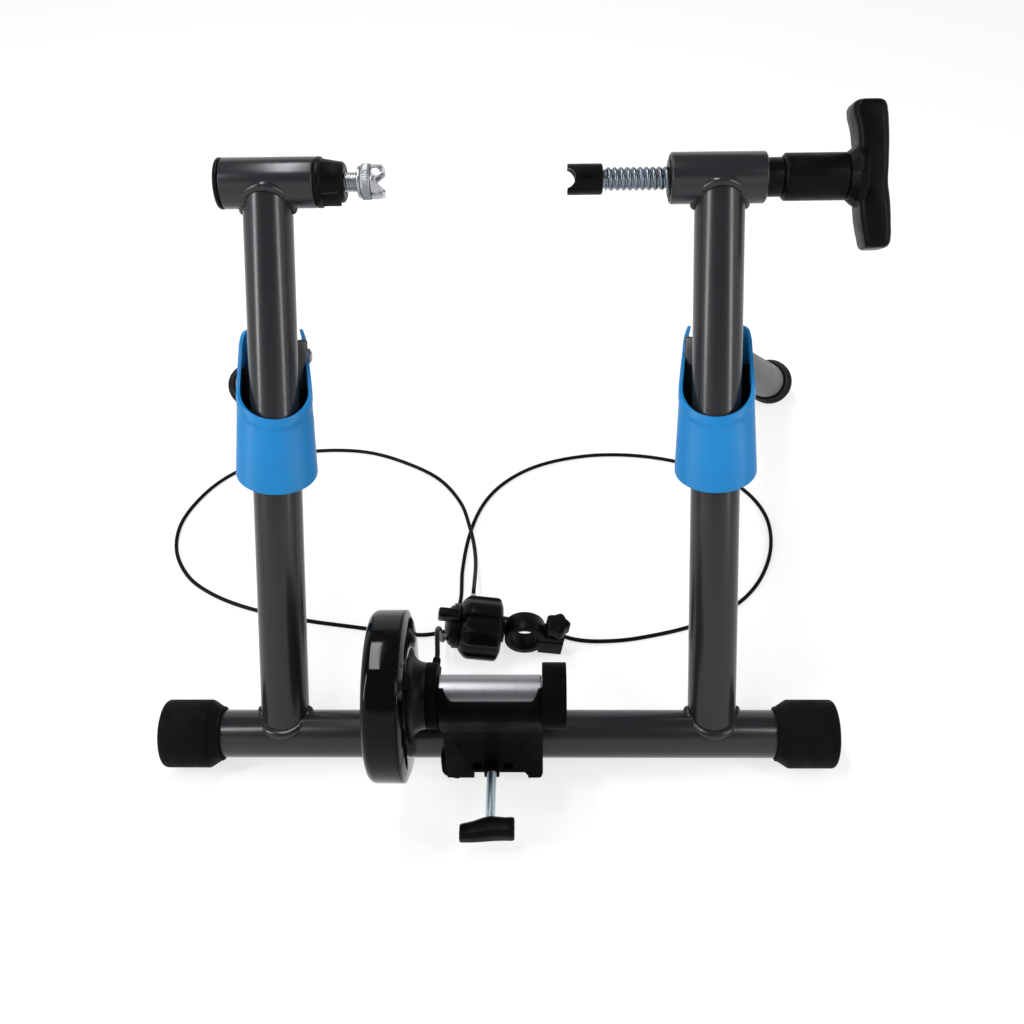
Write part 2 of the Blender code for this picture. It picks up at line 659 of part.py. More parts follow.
def make_left_axle(head, finishes):
    """Cap, collar and the adjustable castellated cup on the left head tube."""
    half = HEAD_INNER
    plug = TUBE_BORE - GAP
    face = -HEAD_OUTER - CAP_THICKNESS
    rim = -HEAD_OUTER - GAP
    cap = [(0.0, face), (TUBE_RADIUS - 0.002, face), (TUBE_RADIUS, face + 0.0015), (TUBE_RADIUS, rim),
           (plug, rim), (plug, PLUG_LENGTH / 2 - HEAD_OUTER), (0.0, PLUG_LENGTH / 2 - HEAD_OUTER)]
    piece("left_head_cap", turned(cap, SMALL_STEPS), finishes["plastic"], head)

    screw = ADJUST_SCREW_DIAMETER / 2
    bore = screw + GAP
    flange = half + COLLAR_FLANGE
    tip = flange + COLLAR_LENGTH
    collar = [(bore, half - PLUG_LENGTH), (plug, half - PLUG_LENGTH), (plug, half + GAP), (TUBE_RADIUS, half + GAP),
              (TUBE_RADIUS, flange - 0.001), (TUBE_RADIUS - 0.001, flange), (COLLAR_END_DIAMETER / 2 + 0.0012, tip - 0.001),
              (COLLAR_END_DIAMETER / 2, tip), (bore, tip)]
    piece("left_axle_collar", turned(collar, SMALL_STEPS), finishes["plastic"], head)

    travel = empty("left_cup_axis", head)
    nut_start = LOCK_START + LOCK_WASHER_THICKNESS + GAP
    cup_start = nut_start + LOCK_NUT_LENGTH + GAP
    cup_end = cup_start + LEFT_CUP_LENGTH
    piece("left_lock_washer", ring(LOCK_WASHER_DIAMETER / 2, bore, LOCK_START, nut_start - GAP, SMALL_STEPS), finishes["zinc"], travel)
    radius = LOCK_NUT_DIAMETER / 2
    nut = [(bore, nut_start), (radius - 0.001, nut_start), (radius, nut_start + 0.001),
           (radius, cup_start - GAP - 0.001), (radius - 0.001, cup_start - GAP), (bore, cup_start - GAP)]
    piece("left_lock_nut", turned(nut, SMALL_STEPS), finishes["steel"], travel)

    screw_end = cup_end - LEFT_CUP_TOOTH
    shank = [(0.0, half - PLUG_LENGTH), (screw, half - PLUG_LENGTH), (screw, screw_end - 0.0008),
             (screw - 0.0008, screw_end), (0.0, screw_end)]
    piece("left_adjust_screw", turned(shank, SMALL_STEPS), finishes["zinc"], travel)
    cup = piece("left_axle_cup", ring(LEFT_CUP_DIAMETER / 2, bore, cup_start, cup_end, SMALL_STEPS), finishes["zinc"], travel)
    notch = [(cup_end - LEFT_CUP_TOOTH, -0.0012), (cup_end - LEFT_CUP_TOOTH, 0.0012),
             (cup_end + 0.004, 0.0088), (cup_end + 0.004, -0.0088)]
    for number in range(2):
        cut(cup, guide("left_cup_notch_%d" % number, slab(notch, -0.02, 0.02), travel, turn=(pi / 2 * number, 0.0, 0.0)))


# The T handle's sections from its lower to its upper end: share of the half length, how far the
# outer face stands out, the thickness, and how much smaller the section is all round
HANDLE_STATIONS = (
    (-1.00, 0.0010, 0.0180, 0.0030), (-0.96, 0.0020, 0.0190, 0.0), (-0.85, 0.0030, 0.0215, 0.0),
    (-0.50, 0.0020, 0.0240, 0.0), (0.00, 0.0, HANDLE_THICKNESS, 0.0), (0.50, -0.0010, 0.0238, 0.0),
    (0.85, -0.0025, 0.0265, 0.0), (0.96, -0.0040, 0.0230, 0.0), (1.00, -0.0045, 0.0220, 0.0030),
)


def handle_section(outer, inner, half_width, height):
    """A rounded rectangle across the T handle."""
    rounding = HANDLE_ROUNDING
    corners = ((outer - rounding, half_width - rounding, 0.0), (inner + rounding, half_width - rounding, pi / 2),
               (inner + rounding, rounding - half_width, pi), (outer - rounding, rounding - half_width, pi * 3 / 2))
    points = []
    for x, y, start in corners:
        points += [(px, py, height) for px, py in arc((x, y), rounding, start, start + pi / 2, 3)]
    return points


def handle_solid(outer_face):
    """The T handle's bar, broader between its middle and its ends."""
    sections = []
    for share, offset, depth, inset in HANDLE_STATIONS:
        half_width = HANDLE_WIDTH / 2 * (HANDLE_WAIST + (1.0 - HANDLE_WAIST) * sin(pi * min(abs(share), 0.8)))
        outer = outer_face + offset
        sections.append(handle_section(outer - inset, outer - depth + inset, half_width - inset,
                                       share * HANDLE_HALF_LENGTH))
    return loft(sections)


def make_handle(turning, start, finishes):
    """The T handle with its faceted hub."""
    outer_face = start + HUB_LENGTH + HANDLE_THICKNESS - 0.002
    handle = piece("clamp_handle", handle_solid(outer_face), finishes["plastic"], turning)
    hub = [(0.0, start), (SLEEVE_DIAMETER / 2 + 0.001, start), (HUB_DIAMETER / 2, start + 0.006),
           (HUB_DIAMETER / 2, start + HUB_LENGTH), (0.0, start + HUB_LENGTH)]
    join(handle, guide("handle_hub", turned(hub, 12), turning))
    socket = rod(CLAMP_SCREW_DIAMETER / 2 + GAP, start - 0.01, start + HUB_LENGTH + 0.004)
    cut(handle, guide("handle_socket", socket, turning))


def make_right_clamp(head, finishes):
    """The long clamp screw with its notched cup, sleeve and T handle."""
    half = HEAD_OUTER
    plug = TUBE_BORE - GAP
    screw = CLAMP_SCREW_DIAMETER / 2
    bore = screw + GAP
    nut = ring(plug, bore, 0.0005 - HEAD_INNER, PLUG_LENGTH - HEAD_INNER, SMALL_STEPS)
    piece("clamp_nut", nut, finishes["steel"], head)
    neck_end = half + BUSH_NECK_LENGTH
    neck = BUSH_NECK_DIAMETER / 2
    bush = [(bore, half - PLUG_LENGTH), (plug, half - PLUG_LENGTH), (plug, half - GAP), (neck, half - GAP),
            (neck, neck_end), (bore, neck_end)]
    piece("right_head_bush", turned(bush, SMALL_STEPS), finishes["plastic"], head)

    travel = empty("clamp_axis", head)
    turning = empty("clamp_turn_axis", travel)
    back = -RIGHT_CUP_START
    mouth = back - RIGHT_CUP_LENGTH
    pocket = CUP_POCKET_DIAMETER / 2
    spigot = CLAMP_SPIGOT_DIAMETER / 2
    radius = RIGHT_CUP_DIAMETER / 2
    floor = mouth + RIGHT_CUP_POCKET
    socket = back - CLAMP_SPIGOT_LENGTH - GAP
    profile = [(0.0, floor), (pocket, floor), (pocket, mouth), (radius, mouth), (radius, back - 0.0006),
               (radius - 0.0006, back), (spigot + GAP, back), (spigot + GAP, socket), (0.0, socket)]
    cup = piece("right_axle_cup", turned(profile, SMALL_STEPS), finishes["plastic"], travel)
    notch_x = mouth + CUP_NOTCH_DEPTH - CUP_NOTCH_DIAMETER / 2
    notch = turn_y(rod(CUP_NOTCH_DIAMETER / 2, -0.02, 0.02, PIN_STEPS))
    cut(cup, guide("right_cup_notch", notch, travel, (notch_x, 0.0, 0.0)))

    sleeve_start = neck_end + GAP
    sleeve_end = sleeve_start + SLEEVE_LENGTH
    shoulder = back + GAP
    shank = [(0.0, shoulder - CLAMP_SPIGOT_LENGTH), (spigot, shoulder - CLAMP_SPIGOT_LENGTH), (spigot, shoulder),
             (screw - 0.0025, shoulder), (screw, shoulder + 0.0035), (screw, sleeve_end + HUB_LENGTH),
             (0.0, sleeve_end + HUB_LENGTH)]
    piece("clamp_screw", turned(shank, SMALL_STEPS), finishes["zinc"], turning)
    sleeve = SLEEVE_DIAMETER / 2
    body = [(bore, sleeve_start), (sleeve - 0.002, sleeve_start), (sleeve, sleeve_start + 0.002),
            (sleeve, sleeve_end), (bore, sleeve_end)]
    piece("handle_sleeve", turned(body, SMALL_STEPS), finishes["plastic"], turning)
    make_handle(turning, sleeve_end + GAP, finishes)


def split_point(along, across):
    """A point by its distance along the clamp's split line and across it, towards the cradle."""
    c, s = cos(CLAMP_SPLIT), sin(CLAMP_SPLIT)
    return (-c * along - s * across, -s * along + c * across)


def cradle_outline():
    """Side view of the cradle: clamp half on the tube, stem, and the seat under the roller."""
    roller = (ROLLER_Y, ROLLER_Z)
    outer = ROLLER_RADIUS + TROUGH_PLAY + TROUGH_WALL
    front = [(-CLAMP_FRONT, -0.019), (-CLAMP_FRONT, 0.046), (-0.041, 0.063)]
    seat = arc(roller, outer, radians(205.0), radians(112.0), 10)
    back = arc(roller, outer, radians(-35.0), radians(-60.0), 3)
    rear = [(-0.004, 0.060), (0.009, 0.043)]
    ear = [split_point(-REAR_EAR_REACH, CLAMP_EAR + 0.001), split_point(-REAR_EAR_REACH, GAP / 2)]
    foot = [split_point(FRONT_EAR_REACH, GAP / 2), (-0.0280, -0.0240)]
    return front + seat + back + rear + ear + foot


def cap_screw_places():
    """Where the clamp's four screws cross its split line: (x, distance along the split)."""
    ends = (CRADLE_LEFT + CAP_SCREW_INSET, CRADLE_RIGHT - CAP_SCREW_INSET)
    return [(x, along) for along in (FRONT_SCREW, -REAR_SCREW) for x in ends]


def make_cradle(unit, finishes):
    """The cradle casting: clamp half, stem, trough, bearing block and the wall at the neck."""
    left = CRADLE_LEFT - CRADLE_WALL
    cradle = piece("roller_cradle", prism(cradle_outline(), CRADLE_LEFT, CRADLE_RIGHT), finishes["plastic"], unit)
    place = (0.0, ROLLER_Y, ROLLER_Z)
    right_end = CRADLE_RIGHT + BEARING_BLOCK_LENGTH
    trough = rod(ROLLER_RADIUS + TROUGH_PLAY, CRADLE_LEFT - 0.02, CRADLE_RIGHT + 0.02)
    cut(cradle, guide("cradle_trough", trough, unit, place))
    lip = ROLLER_Z + OPENING_LIP
    opening = [(CRADLE_LEFT + 0.002, ROLLER_Z + 0.030), (CRADLE_LEFT + 0.003, ROLLER_Z + 0.020),
               (CRADLE_LEFT + 0.0108, lip), (CRADLE_RIGHT - 0.0080, lip),
               (CRADLE_RIGHT - 0.0015, ROLLER_Z + 0.020), (CRADLE_RIGHT - 0.0010, ROLLER_Z + 0.030)]
    cut(cradle, guide("cradle_opening", slab(opening, ROLLER_Y - 0.040, ROLLER_Y + 0.003), unit))
    cut(cradle, guide("cradle_tube_bore", rod(TUBE_RADIUS + CLAMP_PLAY, -0.12, 0.12), unit))

    clear = AXLE_RADIUS + 0.0015
    seat = BEARING_RADIUS + GAP
    seat_start = CRADLE_RIGHT + 0.0015
    seat_end = seat_start + BEARING_WIDTH + 2 * GAP
    wall_end = right_end - 0.003
    block_start = CRADLE_RIGHT - 0.0005
    radius = BEARING_BLOCK_DIAMETER / 2
    profile = [(0.0, wall_end), (clear, wall_end), (clear, seat_end), (seat, seat_end), (seat, seat_start),
               (clear, seat_start), (clear, block_start), (radius, block_start), (radius, right_end), (0.0, right_end)]
    bearing_block = guide("cradle_bearing_block", turned(profile), unit, place, (radians(3.0), 0.0, 0.0))
    neck_ring = guide("cradle_neck_ring", ring(NECK_DIAMETER / 2, clear, left, CRADLE_LEFT + GAP), unit, place,
                      (radians(3.0), 0.0, 0.0))
    join(cradle, bearing_block, neck_ring)

    for number, x in enumerate((-0.0160, 0.0093)):
        window = block((x - 0.004, -CLAMP_FRONT - 0.01, -0.0060), (x + 0.004, -CLAMP_FRONT + 0.003, 0.0030))
        cut(cradle, guide("cradle_window_%d" % number, window, unit))
    half_boss = LOCK_BOSS / 2
    boss = block((LOCK_BOLT_X - half_boss, -CLAMP_FRONT - LOCK_BOSS_LENGTH, -half_boss),
                 (LOCK_BOLT_X + half_boss, -CLAMP_FRONT + 0.001, half_boss))
    join(cradle, guide("cradle_boss", boss, unit))
    bolt_hole = turn_y(rod(LOCK_BOLT_DIAMETER / 2 + GAP, -0.06, -0.01, PIN_STEPS))
    cut(cradle, guide("cradle_bolt_hole", bolt_hole, unit, (LOCK_BOLT_X, 0.0, 0.0)))
    return cradle


def make_clamp_cap(unit, cradle, finishes):
    """The lower back half of the clamp and the four screws that hold it."""
    reach = asin(CLAMP_EAR / CLAMP_OUTER)
    shell = arc((0.0, 0.0), CLAMP_OUTER, -reach, reach - pi, 16)
    outline = [(FRONT_EAR_REACH, -GAP / 2), (FRONT_EAR_REACH, -CLAMP_EAR)]
    outline += shell + [(-REAR_EAR_REACH, -CLAMP_EAR), (-REAR_EAR_REACH, -GAP / 2)]
    cap = piece("clamp_cap", prism([split_point(*point) for point in outline], CRADLE_LEFT, CRADLE_RIGHT),
                finishes["plastic"], unit)
    cut(cap, guide("cap_tube_bore", rod(TUBE_RADIUS + CLAMP_PLAY, -0.12, 0.12), unit))

    recess = block((CRADLE_LEFT + 0.0226, -0.050, -0.060), (CRADLE_RIGHT - 0.0165, -0.0225, -0.0084))
    lobes = guide("clamp_recess", recess, unit)
    cut(cap, lobes)
    cut(cradle, lobes)
    shank = CAP_SCREW_DIAMETER / 2
    head = CAP_SCREW_HEAD / 2
    low = -CLAMP_EAR - GAP
    end = low - CAP_SCREW_HEAD_HEIGHT
    profile = [(0.0, end), (head - 0.0005, end), (head, end + 0.0005), (head, low), (shank, low),
               (shank, 0.0045), (0.0, 0.0045)]
    for number, (x, along) in enumerate(cap_screw_places()):
        y, z = split_point(along, 0.0)
        name = "cap_screw_%s_%s" % (("front", "rear")[number // 2], ("left", "right")[number % 2])
        socket = empty(name + "_frame", unit, (x, y, z), (CLAMP_SPLIT, 0.0, 0.0))
        piece(name, turn_z(turned(profile, 12)), finishes["zinc"], socket)
        hole = guide(name + "_hole", turn_z(rod(shank + GAP, -0.012, 0.0048, 12)), socket)
        cut(cap, hole)
        cut(cradle, hole)
    return cap


def make_lock_bolt(unit, finishes):
    """The bolt that fixes the tilt, with its swivel pad and wing knob."""
    sliding = empty("lock_bolt_axis", unit, (LOCK_BOLT_X, 0.0, 0.0))
    turning = empty("lock_turn_axis", sliding)
    radius = LOCK_BOLT_DIAMETER / 2
    tip = -(TUBE_RADIUS + GAP)
    pad = turn_y(rod(LOCK_PAD_DIAMETER / 2, tip - LOCK_PAD_LENGTH, tip, PIN_STEPS))
    piece("lock_pad", pad, finishes["plastic"], sliding)
    start = tip - LOCK_PAD_LENGTH - GAP
    end = -(KNOB_START + KNOB_DEPTH - 0.005)
    shank = [(0.0, end), (radius, end), (radius, start - 0.001), (radius - 0.001, start), (0.0, start)]
    piece("lock_bolt", turn_y(turned(shank, PIN_STEPS)), finishes["zinc"], turning)
    near, far = -KNOB_START, -(KNOB_START + KNOB_DEPTH)
    hub = KNOB_HUB_DIAMETER / 2
    boss = [(0.0, far), (hub - 0.002, far), (hub, far + 0.002), (hub, near - 0.002), (hub - 0.002, near), (0.0, near)]
    knob = piece("lock_knob", turn_y(turned(boss, PIN_STEPS)), finishes["plastic"], turning)
    span = KNOB_SPAN / 2
    wing = [(-span, far + 0.001), (-span + 0.003, far - 0.001), (-0.006, far + 0.004), (0.006, far + 0.004),
            (span - 0.003, far - 0.001), (span, far + 0.001), (span, near - 0.001), (span - 0.004, near),
            (0.006, near - 0.006), (-0.006, near - 0.006), (-span + 0.004, near), (-span, near - 0.001)]
    bm = bmesh.new()
    face = bm.faces.new([bm.verts.new((x, y, -KNOB_WING / 2)) for x, y in wing])
    swept = bmesh.ops.extrude_face_region(bm, geom=[face])
    moved = [item for item in swept["geom"] if isinstance(item, bmesh.types.BMVert)]
    bmesh.ops.translate(bm, verts=moved, vec=(0.0, 0.0, KNOB_WING))
    bmesh.ops.recalc_face_normals(bm, faces=bm.faces)
    wings = guide("lock_knob_wings", bm, turning, turn=(0.0, KNOB_TURN, 0.0))
    round_edges(wings, 0.002, 2)
    join(knob, wings)
    socket = turn_y(rod(radius + GAP, end - GAP, near + 0.01, PIN_STEPS))
    cut(knob, guide("knob_socket", socket, turning))


def make_neck(unit, place, finishes):
    """The trumpet between the cradle and the magnet housing, with the left bearing."""
    neck = NECK_DIAMETER / 2
    bearing_right = NECK_RIGHT - 0.003
    flare = arc((NECK_LEFT + NECK_FLARE, neck + NECK_FLARE), NECK_FLARE, -pi / 2, -pi, 6)
    clear = AXLE_RADIUS + 0.0015
    seat = BEARING_RADIUS + GAP
    profile = [(clear, NECK_RIGHT), (neck, NECK_RIGHT)] + [(radius, along) for along, radius in flare]
    profile += [(seat, NECK_LEFT), (seat, bearing_right), (clear, bearing_right)]
    piece("neck_housing", turned(profile), finishes["plastic"], unit, place)
    bore = AXLE_RADIUS + AXLE_PLAY
    piece("left_bearing", ring(BEARING_RADIUS, bore, bearing_right - GAP - BEARING_WIDTH, bearing_right - GAP, SMALL_STEPS),
          finishes["steel"], unit, place)
    start = CRADLE_RIGHT + 0.0015 + GAP
    piece("right_bearing", ring(BEARING_RADIUS, bore, start, start + BEARING_WIDTH, SMALL_STEPS), finishes["steel"], unit, place)


def make_housing(unit, place, finishes):
    """The magnet housing: a glossy shell and the bevelled cover on the roller's side."""
    radius = HOUSING_RADIUS
    inner = radius - HOUSING_WALL
    corner = arc((HOUSING_LEFT + HOUSING_ROUNDING, radius - HOUSING_ROUNDING), HOUSING_ROUNDING, pi, pi / 2, 4)
    shell = [(0.0, HOUSING_LEFT)] + [(r, along) for along, r in corner]
    shell += [(radius, HOUSING_RIGHT), (inner, HOUSING_RIGHT), (inner, HOUSING_LEFT + HOUSING_WALL),
              (0.0, HOUSING_LEFT + HOUSING_WALL)]
    piece("magnet_housing", turned(shell, HOUSING_STEPS), finishes["gloss"], unit, place)
    hole = BEARING_RADIUS + 0.001
    collar = hole + 0.0035
    face = COVER_RIGHT - COVER_WALL
    rim = HOUSING_RIGHT + GAP
    depth = face - COVER_COLLAR_DEPTH
    cover = [(hole, COVER_RIGHT), (radius - COVER_BEVEL, COVER_RIGHT), (radius, rim + COVER_LAND), (radius, rim),
             (inner - COVER_WALL, rim), (inner - COVER_BEVEL, face), (collar, face), (collar, depth), (hole, depth)]
    piece("housing_cover", turned(cover, HOUSING_STEPS), finishes["plastic"], unit, place)
    return collar, face


def make_rotor(spin, shifting, place, collar, cover_face, finishes):
    """The axle, roller and rotor disc that spin, and the magnet carrier beside the disc."""
    bore = AXLE_RADIUS + GAP / 2
    carrier_right = cover_face - CARRIER_SETBACK
    carrier_left = carrier_right - CARRIER_THICKNESS
    rotor_right = carrier_left - MAGNET_THICKNESS - MAGNET_GAP
    rotor_left = rotor_right - ROTOR_THICKNESS
    end = CRADLE_RIGHT + BEARING_BLOCK_LENGTH - 0.004
    axle = [(0.0, rotor_left - 0.002), (AXLE_RADIUS, rotor_left - 0.002), (AXLE_RADIUS, end), (0.0, end)]
    piece("roller_axle", turned(axle, PIN_STEPS), finishes["steel"], spin)
    edge = 0.001
    body = [(ROLLER_RADIUS - edge, ROLLER_LEFT), (ROLLER_RADIUS, ROLLER_LEFT + edge),
            (ROLLER_RADIUS, ROLLER_RIGHT - edge), (ROLLER_RADIUS - edge, ROLLER_RIGHT), (bore, ROLLER_RIGHT),
            (bore, ROLLER_LEFT)]
    piece("roller", turned(body, SMALL_STEPS), finishes["silver"], spin)
    disc = [(ROTOR_DIAMETER / 2, rotor_left), (ROTOR_DIAMETER / 2, rotor_right), (bore, rotor_right),
            (bore, rotor_left)]
    piece("rotor_disc", turned(disc), finishes["magnet"], spin)
    radius = ROTOR_DIAMETER / 2 - 0.004
    carrier = piece("magnet_carrier", ring(radius, collar + 0.0005, carrier_left, carrier_right), finishes["plastic"],
                    shifting)
    for number in range(MAGNET_COUNT):
        angle = 2 * pi * number / MAGNET_COUNT
        middle = radius - MAGNET_DIAMETER / 2 - 0.003
        magnet = rod(MAGNET_DIAMETER / 2, carrier_left - MAGNET_THICKNESS, carrier_left + 0.001, 12)
        where = (0.0, middle * cos(angle), middle * sin(angle))
        join(carrier, guide("magnet_%d" % number, magnet, shifting, where))


def make_gland(unit, finishes):
    """The gland that the remote cable comes out of, on the back of the neck ring."""
    along = CRADLE_LEFT - CRADLE_WALL / 2
    start = NECK_DIAMETER / 2 + GAP
    socket = empty("gland_frame", unit, (along, ROLLER_Y, ROLLER_Z), (0.0, -GLAND_ANGLE, pi / 2))
    wide, tip = GLAND_DIAMETER / 2, GLAND_TIP_DIAMETER / 2
    profile = [(0.0, start), (wide, start), (wide, start + 0.005), (tip, start + 0.006),
               (tip, start + GLAND_LENGTH), (0.0, start + GLAND_LENGTH)]
    piece("cable_gland", turned(profile, PIN_STEPS), finishes["plastic"], socket)
    return along, start + GLAND_LENGTH


def make_unit(root, finishes):
    """The resistance unit, hung on the base tube."""
    unit = empty("unit_axis", root, (0.0, 0.0, BAR_HEIGHT))
    place = (0.0, ROLLER_Y, ROLLER_Z)
    spin = empty("roller_spin_axis", unit, place)
    shifting = empty("magnet_shift_axis", unit, place)
    cradle = make_cradle(unit, finishes)
    make_clamp_cap(unit, cradle, finishes)
    make_lock_bolt(unit, finishes)
    make_neck(unit, place, finishes)
    collar, face = make_housing(unit, place, finishes)
    make_rotor(spin, shifting, place, collar, face, finishes)
    return make_gland(unit, finishes)


def barrel_sections():
    """Ribbed sections of the shifter's barrel, with the ribs fading out at its ends."""
    core = BARREL_RADIUS - BARREL_RIB_HEIGHT
    count = BARREL_RIBS * 8
    stations = ((0.0, -0.0030, 0.0), (0.06, 0.0, 0.3), (0.12, 0.0, 1.0), (0.80, 0.0, 1.0), (0.90, -0.0008, 0.4),
                (1.0, -0.0040, 0.0))
    sections = []
    for share, inset, rib in stations:
        x = -BARREL_START - BARREL_LENGTH * share
        points = []
        for i in range(count):
            angle = 2 * pi * i / count
            wave = -cos(BARREL_RIBS * angle)
            lift = BARREL_RIB_HEIGHT * max(0.0, min(1.0, BARREL_RIB_LEVEL + BARREL_RIB_FLANK * wave))
            radius = core + inset + lift * rib
            points.append((x, radius * cos(angle), radius * sin(angle)))
        sections.append(points)
    return sections


def make_shifter(root, finishes):
    """The remote shifter: barrel, lever, handlebar band and its star knob."""
    shifter = empty("shifter_frame", root, (SHIFTER_X, SHIFTER_Y, SHIFTER_Z), (0.0, SHIFTER_TILT, 0.0))
    black = finishes["plastic"]
    inner = BAND_BORE / 2
    outer = inner + BAND_WALL
    body = piece("shifter_body", loft(barrel_sections()), black, shifter)
    stem = block((-BARREL_START - 0.002, -0.008, -0.008), (-outer - 0.0005, 0.008, 0.008))
    join(body, guide("shifter_stem", stem, shifter))
    post = LEVER_RING_DIAMETER / 2 - 0.013
    ring_start = BARREL_START + BARREL_LENGTH + GAP
    ring_end = ring_start + LEVER_RING_LENGTH
    lever = piece("shifter_lever", ring(LEVER_RING_DIAMETER / 2, post + GAP, -ring_end, -ring_start, SMALL_STEPS), black, shifter)
    paddle_low = END_CAP_DIAMETER / 2 + 0.0008
    paddle = block((-ring_start - LEVER_PADDLE_LENGTH, -LEVER_PADDLE_THICKNESS / 2, paddle_low),
                   (-ring_start - 0.001, LEVER_PADDLE_THICKNESS / 2, paddle_low + LEVER_PADDLE_WIDTH))
    wing = guide("lever_paddle", paddle, shifter, turn=(radians(20.0), 0.0, 0.0))
    round_edges(wing, 0.0012, 2)
    join(lever, wing)
    cap_start = ring_end + GAP
    radius = END_CAP_DIAMETER / 2
    dome = [(radius * cos(a), -cap_start - END_CAP_LENGTH * sin(a)) for a in (0.0, 0.45, 0.9, 1.25)]
    cap = [(0.0, -ring_start), (post, -ring_start), (post, -cap_start)] + dome + [(0.0, -cap_start - END_CAP_LENGTH)]
    piece("shifter_end_cap", turned(cap), black, shifter)

    ears = EAR_LENGTH
    band = piece("shifter_band", turn_y(ring(outer, inner, -BAND_WIDTH / 2, BAND_WIDTH / 2)), black, shifter)
    top = BAND_SLIT / 2 + EAR_THICKNESS
    ear = block((inner + 0.001, -EAR_WIDTH / 2, -EAR_BLOCK), (ears, EAR_WIDTH / 2, top))
    join(band, guide("band_ears", ear, shifter))
    cut(band, guide("band_bore", turn_y(rod(inner, -0.02, 0.02)), shifter))
    slit = block((0.0, -0.02, -BAND_SLIT / 2), (ears + 0.01, 0.02, BAND_SLIT / 2))
    cut(band, guide("band_slit", slit, shifter))
    bolt = CLAMP_BOLT_DIAMETER / 2
    hole = turn_z(rod(bolt + GAP, -0.03, 0.03, PIN_STEPS))
    cut(band, guide("band_bolt_hole", hole, shifter, (CLAMP_BOLT_X, 0.0, 0.0)))

    lifting = empty("knob_axis", shifter, (CLAMP_BOLT_X, 0.0, 0.0))
    turning = empty("knob_turn_axis", lifting)
    washer_top = top + GAP + KNOB_WASHER_THICKNESS
    washer = turn_z(ring(KNOB_WASHER_DIAMETER / 2, bolt + GAP, top + GAP, washer_top, PIN_STEPS))
    piece("knob_washer", washer, finishes["zinc"], lifting)
    knob_low = washer_top + GAP
    knob_high = knob_low + STAR_HEIGHT
    shank = turn_z(rod(bolt, -EAR_BLOCK + 0.001, knob_low + STAR_HEIGHT / 2, PIN_STEPS))
    piece("shifter_clamp_bolt", shank, finishes["zinc"], turning)
    star = []
    for i in range(STAR_LOBES * 6):
        angle = 2 * pi * i / (STAR_LOBES * 6)
        reach = STAR_DIAMETER / 2 * (0.90 + 0.10 * cos(STAR_LOBES * angle))
        star.append((reach * cos(angle), reach * sin(angle)))
    knob = piece("shifter_clamp_knob", turn_z(prism(star, knob_low, knob_high)), black, turning)
    round_edges(knob, 0.0015, 2)
    socket = turn_z(rod(bolt + GAP, knob_low - 0.002, knob_low + STAR_HEIGHT / 2 + GAP, PIN_STEPS))
    cut(knob, guide("star_socket", socket, turning))

    start = BARREL_RADIUS - BARREL_RIB_HEIGHT + 2 * GAP
    tip = FERRULE_DIAMETER / 2
    ferrule = [(0.0, start), (tip, start), (tip, start + 0.006), (tip - 0.0012, start + 0.0075),
               (tip - 0.0012, start + FERRULE_LENGTH), (0.0, start + FERRULE_LENGTH)]
    piece("cable_ferrule", turn_y(turned(ferrule, PIN_STEPS)), finishes["zinc"], shifter, (FERRULE_X, 0.0, 0.0))
    return start + FERRULE_LENGTH


# The cable's route on the floor, chosen by hand: from the unit's gland round both loops and
# back to the shifter's ferrule. The first and last stretches are worked out from those two.
CABLE_ROUTE = (
    (-0.0485, 0.045, 0.110), (-0.050, 0.076, 0.070), (-0.053, 0.099, 0.030), (-0.052, 0.120, 0.0105),
    (-0.047, 0.143, 0.0050), (-0.041, 0.171, CABLE_FLOOR), (-0.041, 0.211, CABLE_FLOOR),
    (-0.036, 0.259, CABLE_FLOOR), (-0.025, 0.300, CABLE_FLOOR), (-0.007, 0.331, CABLE_FLOOR),
    (0.022, 0.357, CABLE_FLOOR), (0.058, 0.373, CABLE_FLOOR), (0.104, 0.381, CABLE_FLOOR),
    (0.156, 0.377, CABLE_FLOOR), (0.204, 0.361, CABLE_FLOOR), (0.247, 0.330, CABLE_FLOOR),
    (0.268, 0.290, CABLE_FLOOR), (0.269, 0.246, CABLE_FLOOR), (0.254, 0.202, CABLE_FLOOR),
    (0.228, 0.168, CABLE_FLOOR), (0.186, 0.141, CABLE_FLOOR), (0.129, 0.124, CABLE_FLOOR),
    (0.092, 0.120, CABLE_FLOOR), (0.066, 0.123, CABLE_FLOOR), (0.043, 0.134, CABLE_FLOOR),
    (0.016, 0.145, CABLE_FLOOR), (-0.018, 0.149, CABLE_FLOOR), (-0.047, 0.1345, 0.0022), (-0.073, 0.128, CABLE_FLOOR),
    (-0.100, 0.131, CABLE_FLOOR), (-0.143, 0.138, CABLE_FLOOR), (-0.184, 0.145, CABLE_FLOOR),
    (-0.222, 0.154, CABLE_FLOOR), (-0.258, 0.166, CABLE_FLOOR), (-0.289, 0.182, CABLE_FLOOR),
    (-0.314, 0.203, CABLE_FLOOR), (-0.333, 0.236, CABLE_FLOOR), (-0.338, 0.272, CABLE_FLOOR),
    (-0.330, 0.305, CABLE_FLOOR), (-0.311, 0.339, CABLE_FLOOR), (-0.283, 0.365, CABLE_FLOOR),
    (-0.242, 0.384, CABLE_FLOOR), (-0.195, 0.391, CABLE_FLOOR), (-0.149, 0.386, CABLE_FLOOR),
    (-0.104, 0.366, CABLE_FLOOR), (-0.071, 0.341, 0.0030), (-0.047, 0.303, 0.0055), (-0.036, 0.266, 0.0078),
    (-0.030, 0.236, 0.0105), (-0.027, 0.205, 0.0170),
)


